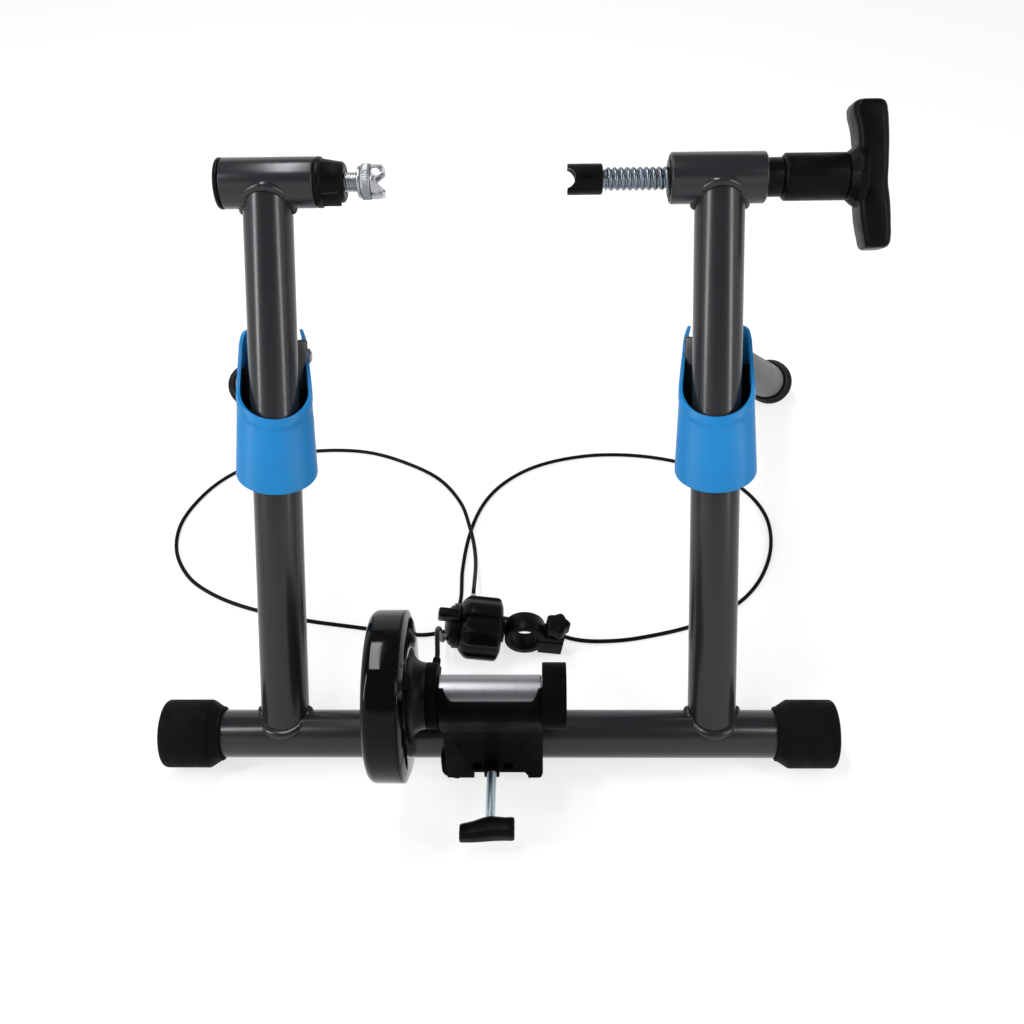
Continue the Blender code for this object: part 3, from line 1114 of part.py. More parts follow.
def smooth_points(route, count):
    """Even points along a centripetal curve through the route's own points."""
    dense = []
    for i in range(len(route) - 1):
        before, start = route[max(i - 1, 0)], route[i]
        end, after = route[i + 1], route[min(i + 2, len(route) - 1)]
        span = (end - start).length
        lean_in = (end - before) * (span / max((end - start).length + (start - before).length, 1e-9))
        lean_out = (after - start) * (span / max((after - end).length + span, 1e-9))
        for step in range(12):
            t = step / 12
            dense.append((2 * t ** 3 - 3 * t ** 2 + 1) * start + (t ** 3 - 2 * t ** 2 + t) * lean_in
                         + (3 * t ** 2 - 2 * t ** 3) * end + (t ** 3 - t ** 2) * lean_out)
    dense.append(route[-1])
    lengths = [0.0]
    for near, far in zip(dense, dense[1:]):
        lengths.append(lengths[-1] + (far - near).length)
    points = []
    index = 0
    for i in range(count):
        goal = lengths[-1] * i / (count - 1)
        while index < len(dense) - 2 and lengths[index + 1] < goal:
            index += 1
        share = (goal - lengths[index]) / (lengths[index + 1] - lengths[index])
        points.append(dense[index].lerp(dense[index + 1], min(max(share, 0.0), 1.0)))
    return points, lengths[-1]


def stretch_distance(a, b, c, d):
    """The least distance between two straight stretches of the cable's middle line."""
    found = []
    for point, start, end in ((a, c, d), (b, c, d), (c, a, b), (d, a, b)):
        share = intersect_point_line(point, start, end)[1]
        found.append((point - start.lerp(end, min(max(share, 0.0), 1.0))).length)
    crossing = intersect_line_line(a, b, c, d)
    if crossing:
        shares = (intersect_point_line(crossing[0], a, b)[1], intersect_point_line(crossing[1], c, d)[1])
        if all(0.0 <= share <= 1.0 for share in shares):
            found.append((crossing[0] - crossing[1]).length)
    return min(found)


def least_gap(points):
    """The least open space between the cable and itself, leaving out its next stretches."""
    stretches = list(zip(points, points[1:]))
    distances = []
    for i, near in enumerate(stretches):
        for far in stretches[i + 3:]:
            distances.append(stretch_distance(*near, *far))
    return min(distances) - CABLE_DIAMETER


def make_cable(root, gland, ferrule_tip, finishes):
    """The remote cable, from the gland's tip to the ferrule's tip."""
    along, reach = gland
    outward = Vector((0.0, cos(GLAND_ANGLE), sin(GLAND_ANGLE)))
    start = Vector((along, ROLLER_Y, BAR_HEIGHT + ROLLER_Z)) + outward * (reach + GAP)
    tilt = Matrix.Rotation(SHIFTER_TILT, 3, "Y")
    end = Vector((SHIFTER_X, SHIFTER_Y, SHIFTER_Z)) + tilt @ Vector((FERRULE_X, ferrule_tip + GAP, 0.0))
    lead = CABLE_DIAMETER * 1.5
    route = [start, start + outward * lead] + [Vector(point) for point in CABLE_ROUTE]
    route += [end + Vector((0.0, 0.018, -0.004)), end + Vector((0.0, lead, 0.0)), end]
    points, length = smooth_points(route, CABLE_POINTS)
    points[1] = start + outward * (points[1] - start).length
    points[-2] = end + Vector((0.0, (points[-2] - end).length, 0.0))
    curve = bpy.data.curves.new("remote_cable", "CURVE")
    curve.dimensions = "3D"
    curve.bevel_depth = CABLE_DIAMETER / 2
    curve.bevel_resolution = 2
    curve.render_resolution_u = 0
    curve.use_fill_caps = True
    spline = curve.splines.new("POLY")
    spline.points.add(len(points) - 1)
    for point, place in zip(spline.points, points):
        point.co = (*place, 1.0)
    curve.materials.append(finishes["plastic"])
    cable = bpy.data.objects.new("remote_cable", curve)
    bpy.context.collection.objects.link(cable)
    cable.parent = root
    gap = least_gap(points)
    print("remote cable length %.3f m, least gap to itself %.2f mm" % (length, gap * 1000))
    if gap < CABLE_LEAST_GAP:
        print("the cable comes too near to itself")
    return cable


def centre_on_floor(root, cable):
    """Move the whole trainer so that the origin is under the middle of its box."""
    bpy.context.view_layer.update()
    graph = bpy.context.evaluated_depsgraph_get()
    corners = []
    for solid in bpy.data.objects:
        if solid.type != "MESH" or solid.hide_render or solid == cable:
            continue
        shape = solid.evaluated_get(graph)
        corners += [solid.matrix_world @ vert.co for vert in shape.data.vertices]
    for axis in (0, 1):
        values = [corner[axis] for corner in corners]
        root.location[axis] = -(min(values) + max(values)) / 2
    root.location[2] = -min(corner[2] for corner in corners)


def main():
    for item in list(bpy.data.objects):
        bpy.data.objects.remove(item)
    finishes = make_finishes()
    root = empty("trainer")
    floor = guide("floor_plane", block((-0.5, -0.3, -0.1), (0.5, 0.8, 0.0)), root)
    make_base(root, finishes["frame"], finishes["rubber"], floor)
    reach = BASE_WIDTH / 2
    cross = rod(TUBE_RADIUS + GAP, -reach, reach)
    base_cutter = guide("base_axis_cutter", cross, root, (0.0, 0.0, BAR_HEIGHT))
    head_y = UPRIGHT_LENGTH * sin(UPRIGHT_LEAN)
    head_z = BAR_HEIGHT + UPRIGHT_LENGTH * cos(UPRIGHT_LEAN)
    head_cutter = guide("head_axis_cutter", rod(TUBE_RADIUS + GAP, -reach, reach), root, (0.0, head_y, head_z))
    heads = {}
    for side, name in ((-1, "left"), (1, "right")):
        axis = empty(name + "_upright_axis", root, (side * UPRIGHT_SPACING / 2, 0.0, BAR_HEIGHT),
                     (-UPRIGHT_LEAN, 0.0, 0.0))
        make_upright(name, axis, base_cutter, head_cutter, finishes["frame"])
        heads[name] = empty(name + "_head", axis, (0.0, 0.0, UPRIGHT_LENGTH))
        make_head_tube(name, heads[name], side, finishes["frame"])
        around = guide(name + "_upright_cutter", turn_z(rod(TUBE_RADIUS + GAP, 0.05, UPRIGHT_LENGTH - 0.05)), axis)
        pin = make_hinge(name, axis, side, finishes, around)
        make_leg(name, pin, finishes, floor)
    make_left_axle(heads["left"], finishes)
    make_right_clamp(heads["right"], finishes)
    gland = make_unit(root, finishes)
    ferrule_tip = make_shifter(root, finishes)
    cable = make_cable(root, gland, ferrule_tip, finishes)
    centre_on_floor(root, cable)


main()
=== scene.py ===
"""Folding bike trainer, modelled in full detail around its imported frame.

Metres, +Z up. The camera side of the trainer is -Y and the wheel stands on the +Y side.
"""
from math import asin, cos, exp, hypot, pi, radians, sin, sqrt, tan

import bmesh
import bpy
from bpy.props import FloatProperty, FloatVectorProperty, PointerProperty
from mathutils import Matrix, Vector


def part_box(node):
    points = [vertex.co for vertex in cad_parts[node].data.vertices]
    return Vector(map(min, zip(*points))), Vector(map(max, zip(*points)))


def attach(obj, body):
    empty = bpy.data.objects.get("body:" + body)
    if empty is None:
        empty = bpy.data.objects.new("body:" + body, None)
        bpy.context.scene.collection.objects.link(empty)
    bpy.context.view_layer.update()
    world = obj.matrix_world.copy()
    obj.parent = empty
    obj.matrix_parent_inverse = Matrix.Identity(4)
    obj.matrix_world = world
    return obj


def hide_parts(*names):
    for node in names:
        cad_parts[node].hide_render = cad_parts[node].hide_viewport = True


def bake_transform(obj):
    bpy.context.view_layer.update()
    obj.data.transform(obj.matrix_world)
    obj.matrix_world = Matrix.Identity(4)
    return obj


bl_info = {
    "name": "Folding Bike Trainer",
    "version": (1, 0, 0),
    "blender": (4, 5, 0),
    "location": "View3D > Sidebar > Trainer",
    "description": "Builds a folding bike trainer piece by piece around its frame",
    "category": "Object",
}

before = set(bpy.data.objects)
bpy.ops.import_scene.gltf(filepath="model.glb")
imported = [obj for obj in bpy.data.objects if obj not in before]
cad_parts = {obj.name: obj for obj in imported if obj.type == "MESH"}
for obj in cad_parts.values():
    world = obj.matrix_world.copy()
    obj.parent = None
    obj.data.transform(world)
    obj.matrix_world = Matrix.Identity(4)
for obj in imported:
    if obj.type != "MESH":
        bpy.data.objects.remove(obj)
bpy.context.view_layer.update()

# Steps of a full turn
ROUND = 80
HOUSING_ROUND = 144
FINE_ROUND = 96
SMALL_ROUND = 48

# Frame tubes
GAP = 0.0003
TUBE_RADIUS = 0.020
TUBE_BORE = 0.018
PLUG_RADIUS = TUBE_BORE - GAP
BASE_WIDTH = 0.565
UPRIGHT_SPACING = 0.360
UPRIGHT_LENGTH = 0.455
UPRIGHT_LEAN = radians(37.0)
HEAD_INNER = 0.040
HEAD_OUTER = 0.0355
HEAD_EDGE = 0.0012

# Weld beads
BEAD_RADIUS = 0.0042
BEAD_CENTRE = 0.975 * TUBE_RADIUS
BEAD_STEPS = 260
BEAD_RISE = 0.0205
BEAD_ARCH = 0.0152

# Feet on the base tube
FOOT_RADIUS = 0.0285
FOOT_LENGTH = 0.050
FOOT_TAPER = 0.010
FOOT_LIP = 0.0025
FOOT_END_WALL = 0.005
FOOT_CORNER = 0.004

# Hinges
HINGE_UP = 0.318
HINGE_BACK = 0.046
CHEEK = 0.003
BRACKET_NOSE = 0.0135
BRACKET_ROOT = -0.027
BRACKET_WEB = -0.022
BRACKET_FOOT = -0.028
PIN_RADIUS = 0.005
PIN_HEX = 0.013
PIN_HEAD_HEIGHT = 0.0065
PIN_NUT_HEIGHT = 0.005

# Legs
TOE_OUT = radians(19.0)
LEG_OPEN = radians(85.0)
LEG_RADIUS = 0.019
LEG_WALL = 0.002
LEG_PINCH = 0.012
LEG_SLOT = 0.0124
LEG_WIDEN_START = 0.028
LEG_WIDEN_SPAN = 0.028
LEG_FOOT_RADIUS = 0.025
LEG_FOOT_LENGTH = 0.028
LEG_FOOT_END_WALL = 0.006
LEG_FOOT_FLAT = 0.003

# Blue shrouds
SHROUD_WALL = 0.003
SHROUD_FRONT = 0.0236
SHROUD_BACK = 0.046
SHROUD_FRONT_LOW = 0.207
SHROUD_FRONT_HIGH = 0.2677
SHROUD_SLOPE = radians(46.5)
SHROUD_TURN = {-1: radians(12.5), 1: radians(8.5)}
SHROUD_CORNER = 0.005
SHROUD_LIP = 0.0165
SHROUD_LOW_HALF = 0.034
SHROUD_TAPER = 0.0055
SHROUD_BACK_HALF = 0.0325
SHROUD_NARROWING = 0.0053
SHROUD_NARROW_START = 0.262
SHROUD_NARROW_SPAN = 0.028
SHROUD_CLOSING_START = 0.329
SHROUD_CLOSING = 0.25
SHROUD_EDGE = 0.0013
SHROUD_RIM_RISE = 0.0007
SHROUD_RIM_STEP = 0.0012

# Resistance unit
ROLLER_Y = -0.031366
ROLLER_Z = 0.09653
ROLLER_RADIUS = 0.016
ROLLER_LEFT = -0.0415
ROLLER_RIGHT = 0.0375
CRADLE_LEFT = -0.0422
CRADLE_RIGHT = 0.0382
LOBE_LEFT = -0.0462
BLOCK_RIGHT = 0.0562
NECK_RADIUS = 0.0255
NECK_RIGHT = -0.0505
NECK_LEFT = -0.0625
COVER_RIGHT = -0.0628
HOUSING_RIGHT = -0.0671
HOUSING_LEFT = -0.0931
HOUSING_RADIUS = 0.066
HOUSING_WALL = 0.003
BEARING_SEAT = 0.013 + GAP
AXLE_CLEARANCE = PIN_RADIUS + 0.0015
CLAMP_SPLIT = radians(45.0)
CLAMP_BORE = TUBE_RADIUS + 0.0004
CLAMP_SHELL = 0.0265
CLAMP_FLANGE = 0.0045
CLAMP_FRONT = 0.033
CLAMP_REAR = -0.036
LOCK_BOLT_X = -0.004
LOCK_BOLT_RADIUS = 0.004
LOCK_PAD_LENGTH = 0.004

# Remote shifter
SHIFTER_TILT = radians(9.0)
BARREL_RADIUS = 0.029
BARREL_RIB = 0.003
BARREL_RIBS = 6
BARREL_START = 0.0225
BARREL_LENGTH = 0.0375
LEVER_START = 0.0603
LEVER_END = LEVER_START + 0.006
LEVER_RADIUS = 0.0205
LEVER_POST = 0.0075
BAND_BORE = 0.013
BAND_RADIUS = BAND_BORE + 0.0055
BAND_BOLT_X = 0.028
FERRULE_X = -0.049
FERRULE_START = BARREL_RADIUS - BARREL_RIB + 2 * GAP
FERRULE_END = FERRULE_START + 0.012

# Remote cable
CABLE_RADIUS = 0.002
CABLE_FLOOR = 0.0022
CABLE_POINTS = 420


# Places of the trainer's axes
def axis_of(node):
    """The middle of a node across X, as the axis of a tube along X."""
    low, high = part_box(node)
    return (low.y + high.y) / 2, (low.z + high.z) / 2


BASE_Y, BASE_Z = axis_of("base_tube")
BASE = Matrix.Translation((0.0, BASE_Y, BASE_Z))
ROLLER = BASE @ Matrix.Translation((0.0, ROLLER_Y, ROLLER_Z))
SHIFTER_HEIGHT = BARREL_RADIUS * cos(SHIFTER_TILT) - BARREL_START * sin(SHIFTER_TILT)
SHIFTER_PLACE = Vector((0.022, BASE_Y + 0.112, SHIFTER_HEIGHT))
SHIFTER = Matrix.Translation(SHIFTER_PLACE) @ Matrix.Rotation(SHIFTER_TILT, 4, "Y")
SIDES = ((-1, "left"), (1, "right"))


def upright_place(side):
    """The frame of an upright: Z runs up the tube, Y points to its back."""
    foot = Matrix.Translation((side * UPRIGHT_SPACING / 2, 0.0, 0.0))
    return BASE @ foot @ Matrix.Rotation(-UPRIGHT_LEAN, 4, "X")


def head_place(side):
    return upright_place(side) @ Matrix.Translation((0.0, 0.0, UPRIGHT_LENGTH))


def pin_place(side):
    """The frame of a leg's pin: X runs along the pin, turned by the legs' toe."""
    pin = Matrix.Translation((0.0, HINGE_BACK, HINGE_UP))
    return upright_place(side) @ pin @ Matrix.Rotation(-side * TOE_OUT, 4, "Z")


def leg_place(side):
    return pin_place(side) @ Matrix.Rotation(LEG_OPEN - pi, 4, "X")


def facing(side):
    """Turn a piece that is made for the right to face its own side."""
    return Matrix.Rotation(0.0 if side > 0 else pi, 4, "Z")


# Mesh tools
def new_object(name, bm):
    """Put a bmesh in a linked object that has no place of its own."""
    mesh = bpy.data.meshes.new(name)
    bm.to_mesh(mesh)
    bm.free()
    made = bpy.data.objects.new(name, mesh)
    bpy.context.scene.collection.objects.link(made)
    return made


def add_piece(name, bm, finish, body, place=None, replaces=(), sharp=32.0):
    """Finish a piece: put it in place, smooth it, dress it and hang it on its body."""
    if place is not None:
        bmesh.ops.transform(bm, matrix=place, verts=bm.verts)
    made = new_object(name, bm)
    made.data.shade_smooth()
    made.data.set_sharp_from_angle(angle=radians(sharp))
    made.data.materials.append(material(finish))
    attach(made, body)
    if replaces:
        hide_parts(*replaces)


def merge(bm, dist=1e-6):
    """Weld coincident points and turn every face outwards."""
    bmesh.ops.remove_doubles(bm, verts=bm.verts, dist=dist)
    bmesh.ops.recalc_face_normals(bm, faces=bm.faces)
    return bm


def spun(profile, steps=ROUND):
    """Spin (radius, along) points around X. A profile off the axis closes into a ring."""
    bm = bmesh.new()
    points = [bm.verts.new((along, 0.0, radius)) for radius, along in profile]
    links = [bm.edges.new(pair) for pair in zip(points, points[1:])]
    if profile[0][0] > 0.0:
        links.append(bm.edges.new((points[-1], points[0])))
    bmesh.ops.spin(bm, geom=points + links, cent=(0.0, 0.0, 0.0), axis=(1.0, 0.0, 0.0),
                   angle=2 * pi, steps=steps, use_merge=True)
    return merge(bm)


def rod(radius, start, end, steps=ROUND):
    return spun([(0.0, start), (radius, start), (radius, end), (0.0, end)], steps)


def ring(outer, inner, start, end, steps=ROUND):
    return spun([(outer, start), (outer, end), (inner, end), (inner, start)], steps)


def extruded(corners, move):
    """Extrude a closed outline of 3-D points."""
    bm = bmesh.new()
    face = bm.faces.new([bm.verts.new(point) for point in corners])
    swept = bmesh.ops.extrude_face_region(bm, geom=[face])
    moved = [item for item in swept["geom"] if isinstance(item, bmesh.types.BMVert)]
    bmesh.ops.translate(bm, verts=moved, vec=move)
    bmesh.ops.recalc_face_normals(bm, faces=bm.faces)
    return bm


def prism(outline, start, end):
    """Extrude a closed (y, z) outline along X."""
    return extruded([(start, y, z) for y, z in outline], (end - start, 0.0, 0.0))


def slab(outline, low, high):
    """Extrude a closed (x, z) outline along Y."""
    return extruded([(x, low, z) for x, z in outline], (0.0, high - low, 0.0))


def plate(outline, low, high):
    """Extrude a closed (x, y) outline along Z."""
    return extruded([(x, y, low) for x, y in outline], (0.0, 0.0, high - low))


def block(low, high):
    """A box between two corners."""
    bm = bmesh.new()
    bmesh.ops.create_cube(bm, size=1.0)
    bmesh.ops.scale(bm, verts=bm.verts, vec=Vector(high) - Vector(low))
    bmesh.ops.translate(bm, verts=bm.verts, vec=(Vector(high) + Vector(low)) / 2)
    return bm


def lofted(sections):
    """Bridge closed sections of equal point counts, and close both ends."""
    bm = bmesh.new()
    rings = []
    for section in sections:
        corners = [bm.verts.new(point) for point in section]
        edges = [bm.edges.new((corners[i - 1], corners[i])) for i in range(len(corners))]
        rings.append((corners, edges))
    for near, far in zip(rings, rings[1:]):
        bmesh.ops.bridge_loops(bm, edges=near[1] + far[1])
    bm.faces.new(rings[0][0])
    bm.faces.new(rings[-1][0])
    bmesh.ops.recalc_face_normals(bm, faces=bm.faces)
    return bm


def arc(centre, radius, start, end, steps):
    """Points on a circle from one angle to another, both included."""
    angles = [start + (end - start) * i / steps for i in range(steps + 1)]
    return [(centre[0] + radius * cos(a), centre[1] + radius * sin(a)) for a in angles]


def hexagon(width):
    """A hexagon outline by its width across flats."""
    return arc((0.0, 0.0), width / 2 / cos(pi / 6), 0.0, 2 * pi * 5 / 6, 5)


def turned(bm, angle, axis):
    """Turn a shape about the origin."""
    bmesh.ops.rotate(bm, verts=bm.verts, cent=(0.0, 0.0, 0.0), matrix=Matrix.Rotation(angle, 3, axis))
    return bm


def stand_up(bm):
    """Stand a shape that was made along X up along Z."""
    return turned(bm, -pi / 2, "Y")


def lay_back(bm):
    """Lay a shape that was made along X along Y."""
    return turned(bm, pi / 2, "Z")


def moved(bm, x=0.0, y=0.0, z=0.0):
    bmesh.ops.translate(bm, verts=bm.verts, vec=(x, y, z))
    return bm


def soften(bm, width, segments=2, angle=30.0, where=None):
    """Round the edges that are sharper than the angle."""
    limit = radians(angle)
    sharp = [edge for edge in bm.edges if edge.is_manifold and edge.calc_face_angle(0.0) > limit]
    if where is not None:
        sharp = [edge for edge in sharp if where((edge.verts[0].co + edge.verts[1].co) / 2)]
    bmesh.ops.bevel(bm, geom=sharp, offset=width, offset_type="OFFSET", segments=segments, profile=0.5,
                    affect="EDGES", clamp_overlap=True, material=-1)
    return bm


def combined(bm, steps):
    """Join, cut or intersect with exact Booleans on short-lived objects."""
    base = new_object("carving", bm)
    tools = []
    for operation, shape in steps:
        tool = new_object("carving_tool", shape)
        step = base.modifiers.new("step", "BOOLEAN")
        step.operation = operation
        step.solver = "EXACT"
        step.object = tool
        tools.append(tool)
    graph = bpy.context.evaluated_depsgraph_get()
    result = bmesh.new()
    shaped = base.evaluated_get(graph)
    result.from_mesh(shaped.to_mesh())
    shaped.to_mesh_clear()
    for spent in [base] + tools:
        mesh = spent.data
        bpy.data.objects.remove(spent)
        bpy.data.meshes.remove(mesh)
    return result


def carved(bm, cuts=(), adds=()):
    """Join some shapes to a shape, then cut others out of it."""
    steps = [("UNION", shape) for shape in adds] + [("DIFFERENCE", shape) for shape in cuts]
    result = combined(bm, steps)
    bmesh.ops.dissolve_degenerate(result, dist=1e-7, edges=result.edges)
    return result


def intersected(bm, other):
    """Keep what two shapes share."""
    return combined(bm, [("INTERSECT", other)])


def cut_by_plane(bm, point, normal, close=True):
    """Take away what lies on the normal's side of a plane."""
    bmesh.ops.bisect_plane(bm, geom=bm.verts[:] + bm.edges[:] + bm.faces[:], plane_co=point,
                           plane_no=normal, clear_outer=True)
    if close:
        rim = [edge for edge in bm.edges if edge.is_boundary]
        bmesh.ops.holes_fill(bm, edges=rim, sides=0)
    return bm


def eased(place, start, span):
    """A soft step from 0 to 1 that begins at start and takes the span."""
    share = min(max((place - start) / span, 0.0), 1.0)
    return share * share * (3.0 - 2.0 * share)


def thread(profile, pitch, start, end, steps):
    """A screw thread along X: one pitch of (radius, along) points, spun and moved on as it turns."""
    bm = bmesh.new()
    points = [bm.verts.new((start - pitch + along, 0.0, radius)) for radius, along in profile]
    links = [bm.edges.new(pair) for pair in zip(points, points[1:])]
    turns = int((end - start) / pitch) + 3
    bmesh.ops.spin(bm, geom=points + links, cent=(0.0, 0.0, 0.0), axis=(1.0, 0.0, 0.0),
                   dvec=(pitch / steps, 0.0, 0.0), angle=2 * pi * turns, steps=steps * turns)
    bmesh.ops.remove_doubles(bm, verts=bm.verts, dist=1e-6)
    for place, outwards in ((start, -1.0), (end, 1.0)):
        cut_by_plane(bm, (place, 0.0, 0.0), (outwards, 0.0, 0.0), close=False)
    bmesh.ops.holes_fill(bm, edges=[edge for edge in bm.edges if edge.is_boundary], sides=0)
    bmesh.ops.recalc_face_normals(bm, faces=bm.faces)
    return bm


def weld_bead(upward, turn):
    """A soft fillet weld round an upright: a flat arch in front, and a little rippled at the sides."""
    bm = bmesh.new()
    centre = Vector((BEAD_CENTRE, 0.0, 0.0))
    circle = bmesh.ops.create_circle(bm, segments=20, radius=BEAD_RADIUS)["verts"]
    bmesh.ops.rotate(bm, verts=circle, cent=(0.0, 0.0, 0.0), matrix=Matrix.Rotation(pi / 2, 3, "X"))
    bmesh.ops.translate(bm, verts=circle, vec=centre)
    bmesh.ops.spin(bm, geom=circle + bm.edges[:], cent=(0.0, 0.0, 0.0), axis=(0.0, 0.0, 1.0), angle=2 * pi,
                   steps=BEAD_STEPS, use_merge=True)
    merge(bm)
    for vert in bm.verts:
        heading = Vector((vert.co.x, vert.co.y)).normalized()
        middle = Vector((heading.x, heading.y, 0.0)) * centre.x
        from_middle = vert.co - middle
        angle = turn + pi - heading.angle_signed(Vector((1.0, 0.0)))
        sideways = heading.x ** 2
        ripple = 1.0 + sideways * 0.030 * sin(34 * angle) + 0.015 * sin(7 * angle + 1.0)
        rise = upward * (BEAD_RISE - BEAD_ARCH * abs(heading.y))
        vert.co = middle + from_middle * ripple + Vector((0.0, 0.0, rise))
    return bm


# Materials made so far, one for each finish
made_materials = {}


def add_node(tree, kind, values=(), links=()):
    """Add a shader node, with (input, value) and (input, source) pairs."""
    node = tree.nodes.new(kind)
    for name, value in values:
        node.inputs[name].default_value = value
    for name, source in links:
        tree.links.new(source, node.inputs[name])
    return node


class Finish:
    """A Principled material whose detail is added step by step."""

    def __init__(self, name, colour, roughness, metallic=0.0, specular=0.5):
        self.material = bpy.data.materials.new(name)
        self.material.use_nodes = True
        self.tree = self.material.node_tree
        self.inputs = self.tree.nodes["Principled BSDF"].inputs
        self.colour = colour
        self.inputs["Base Color"].default_value = (*colour, 1.0)
        self.inputs["Roughness"].default_value = roughness
        self.inputs["Metallic"].default_value = metallic
        self.inputs["Specular IOR Level"].default_value = specular
        self.material.diffuse_color = (*colour, 1.0)
        self.place = add_node(self.tree, "ShaderNodeTexCoord").outputs["Object"]
        self.normal = None

    def grain(self, scale, detail=3.0, roughness=0.5, stretch=(1.0, 1.0, 1.0)):
        """Noise on Object coordinates, stretched along some axes."""
        mapping = add_node(self.tree, "ShaderNodeMapping", [("Scale", stretch)], [("Vector", self.place)])
        values = [("Scale", scale), ("Detail", detail), ("Roughness", roughness)]
        noise = add_node(self.tree, "ShaderNodeTexNoise", values, [("Vector", mapping.outputs["Vector"])])
        return noise.outputs["Fac"]

    def cells(self, scale):
        """Round cells on Object coordinates, as moulded grain has."""
        voronoi = add_node(self.tree, "ShaderNodeTexVoronoi", [("Scale", scale)], [("Vector", self.place)])
        return voronoi.outputs["Distance"]

    def vary_colour(self, source, darker, lighter, start=0.35, end=0.65):
        """Shade the base colour between a darker and a lighter share of itself."""
        ramp = add_node(self.tree, "ShaderNodeValToRGB", links=[("Fac", source)])
        for stop, place, share in zip(ramp.color_ramp.elements, (start, end), (darker, lighter)):
            stop.position = place
            stop.color = (*[min(c * share, 1.0) for c in self.colour], 1.0)
        self.tree.links.new(ramp.outputs["Color"], self.inputs["Base Color"])

    def vary_roughness(self, source, low, high, start=0.35, end=0.65):
        """Spread a pattern over a range of roughness."""
        values = [("From Min", start), ("From Max", end), ("To Min", low), ("To Max", high)]
        spread = add_node(self.tree, "ShaderNodeMapRange", values, [("Value", source)])
        self.tree.links.new(spread.outputs["Result"], self.inputs["Roughness"])

    def bump(self, source, strength, distance):
        """Stack one more bump on the surface."""
        step = add_node(self.tree, "ShaderNodeBump", [("Strength", strength), ("Distance", distance)],
                        [("Height", source)])
        if self.normal is not None:
            self.tree.links.new(self.normal, step.inputs["Normal"])
        self.normal = step.outputs["Normal"]
        self.tree.links.new(self.normal, self.inputs["Normal"])


def enamel(name, colour, roughness, metallic, specular, low, high):
    """Dark grey metallic enamel with a fine orange peel."""
    paint = Finish(name, colour, roughness, metallic, specular)
    paint.vary_colour(paint.grain(2600.0, 1.0), 0.80, 1.25, 0.30, 0.70)
    paint.vary_roughness(paint.grain(14.0, 1.0), low, high, 0.15, 0.85)
    paint.bump(paint.grain(700.0, 2.0), 0.04, 0.0002)
    return paint.material


def frame_paint(colours):
    return enamel("frame_paint", colours.frame_paint, 0.23, 0.35, 0.50, 0.21, 0.26)


def leg_paint(colours):
    """The duller, worn enamel of the two legs."""
    return enamel("leg_paint", colours.frame_paint, 0.38, 0.1, 0.14, 0.34, 0.42)


def blue_plastic(colours):
    """Smooth moulded plastic in one bright blue."""
    plastic = Finish("blue_plastic", colours.blue_plastic, 0.42, 0.0, 0.3)
    plastic.vary_colour(plastic.grain(22.0, 3.0), 0.95, 1.05)
    plastic.vary_roughness(plastic.grain(60.0, 3.0), 0.38, 0.47)
    plastic.bump(plastic.cells(1500.0), 0.06, 0.0003)
    plastic.bump(plastic.grain(160.0, 2.0), 0.05, 0.0006)
    return plastic.material


def rubber(colours):
    """Matt black rubber with a dry, slightly dusty skin."""
    skin = Finish("rubber", colours.rubber, 0.62, 0.0, 0.07)
    skin.vary_colour(skin.grain(35.0, 6.0, 0.6), 0.75, 1.6, 0.35, 0.75)
    skin.vary_roughness(skin.grain(90.0, 4.0), 0.55, 0.74)
    skin.bump(skin.grain(1400.0, 2.0), 0.18, 0.0003)
    skin.bump(skin.grain(120.0, 3.0), 0.10, 0.0006)
    return skin.material


def moulded(name, colour, roughness, specular, low, high):
    """Black moulded plastic with a fine spark-eroded grain."""
    plastic = Finish(name, colour, roughness, 0.0, specular)
    plastic.vary_colour(plastic.grain(40.0, 5.0), 0.8, 1.35, 0.35, 0.7)
    plastic.vary_roughness(plastic.grain(70.0, 3.0), low, high)
    plastic.bump(plastic.cells(1300.0), 0.12, 0.0003)
    return plastic


def black_plastic(colours):
    """The plastic of the handle, the collars and the shifter, a little uneven under its grain."""
    plastic = moulded("black_plastic", colours.black_plastic, 0.36, 0.08, 0.30, 0.42)
    plastic.bump(plastic.grain(200.0, 2.0), 0.06, 0.0005)
    return plastic.material


def matt_black(colours):
    """The dull black of the cradle and its clamp."""
    return moulded("matt_black", colours.black_plastic, 0.50, 0.012, 0.44, 0.58).material


def gloss_black(colours):
    """Polished black shell, with a faint ripple from moulding."""
    shell = Finish("gloss_black", colours.gloss_black, 0.07, 0.0, 0.15)
    shell.vary_colour(shell.grain(12.0, 3.0), 0.85, 1.2)
    shell.vary_roughness(shell.grain(25.0, 4.0), 0.05, 0.11)
    shell.bump(shell.grain(32.0, 1.0), 0.03, 0.0015)
    return shell.material


def plated(name, colour, low, high, scratches=0.05):
    """Plated steel with a slightly cloudy coat and fine scratches."""
    metal = Finish(name, colour, (low + high) / 2, 1.0)
    metal.vary_colour(metal.grain(55.0, 6.0, 0.6), 0.86, 1.08)
    metal.vary_roughness(metal.grain(130.0, 5.0, 0.6), low, high)
    metal.bump(metal.grain(700.0, 3.0), scratches, 0.0003)
    return metal.material


def zinc(colours):
    return plated("zinc", colours.zinc, 0.22, 0.36)


def blue_zinc(colours):
    """The smooth bluish coat of the lock bolt."""
    metal = Finish("blue_zinc", colours.blue_zinc, 0.28, 1.0)
    metal.vary_colour(metal.grain(18.0, 2.0), 0.94, 1.04)
    metal.vary_roughness(metal.grain(40.0, 3.0), 0.25, 0.33)
    metal.bump(metal.grain(500.0, 2.0), 0.02, 0.0002)
    return metal.material


def grey_zinc(colours):
    """The darker coat of the clamp screw, oily in its thread."""
    return plated("grey_zinc", colours.grey_zinc, 0.24, 0.36)


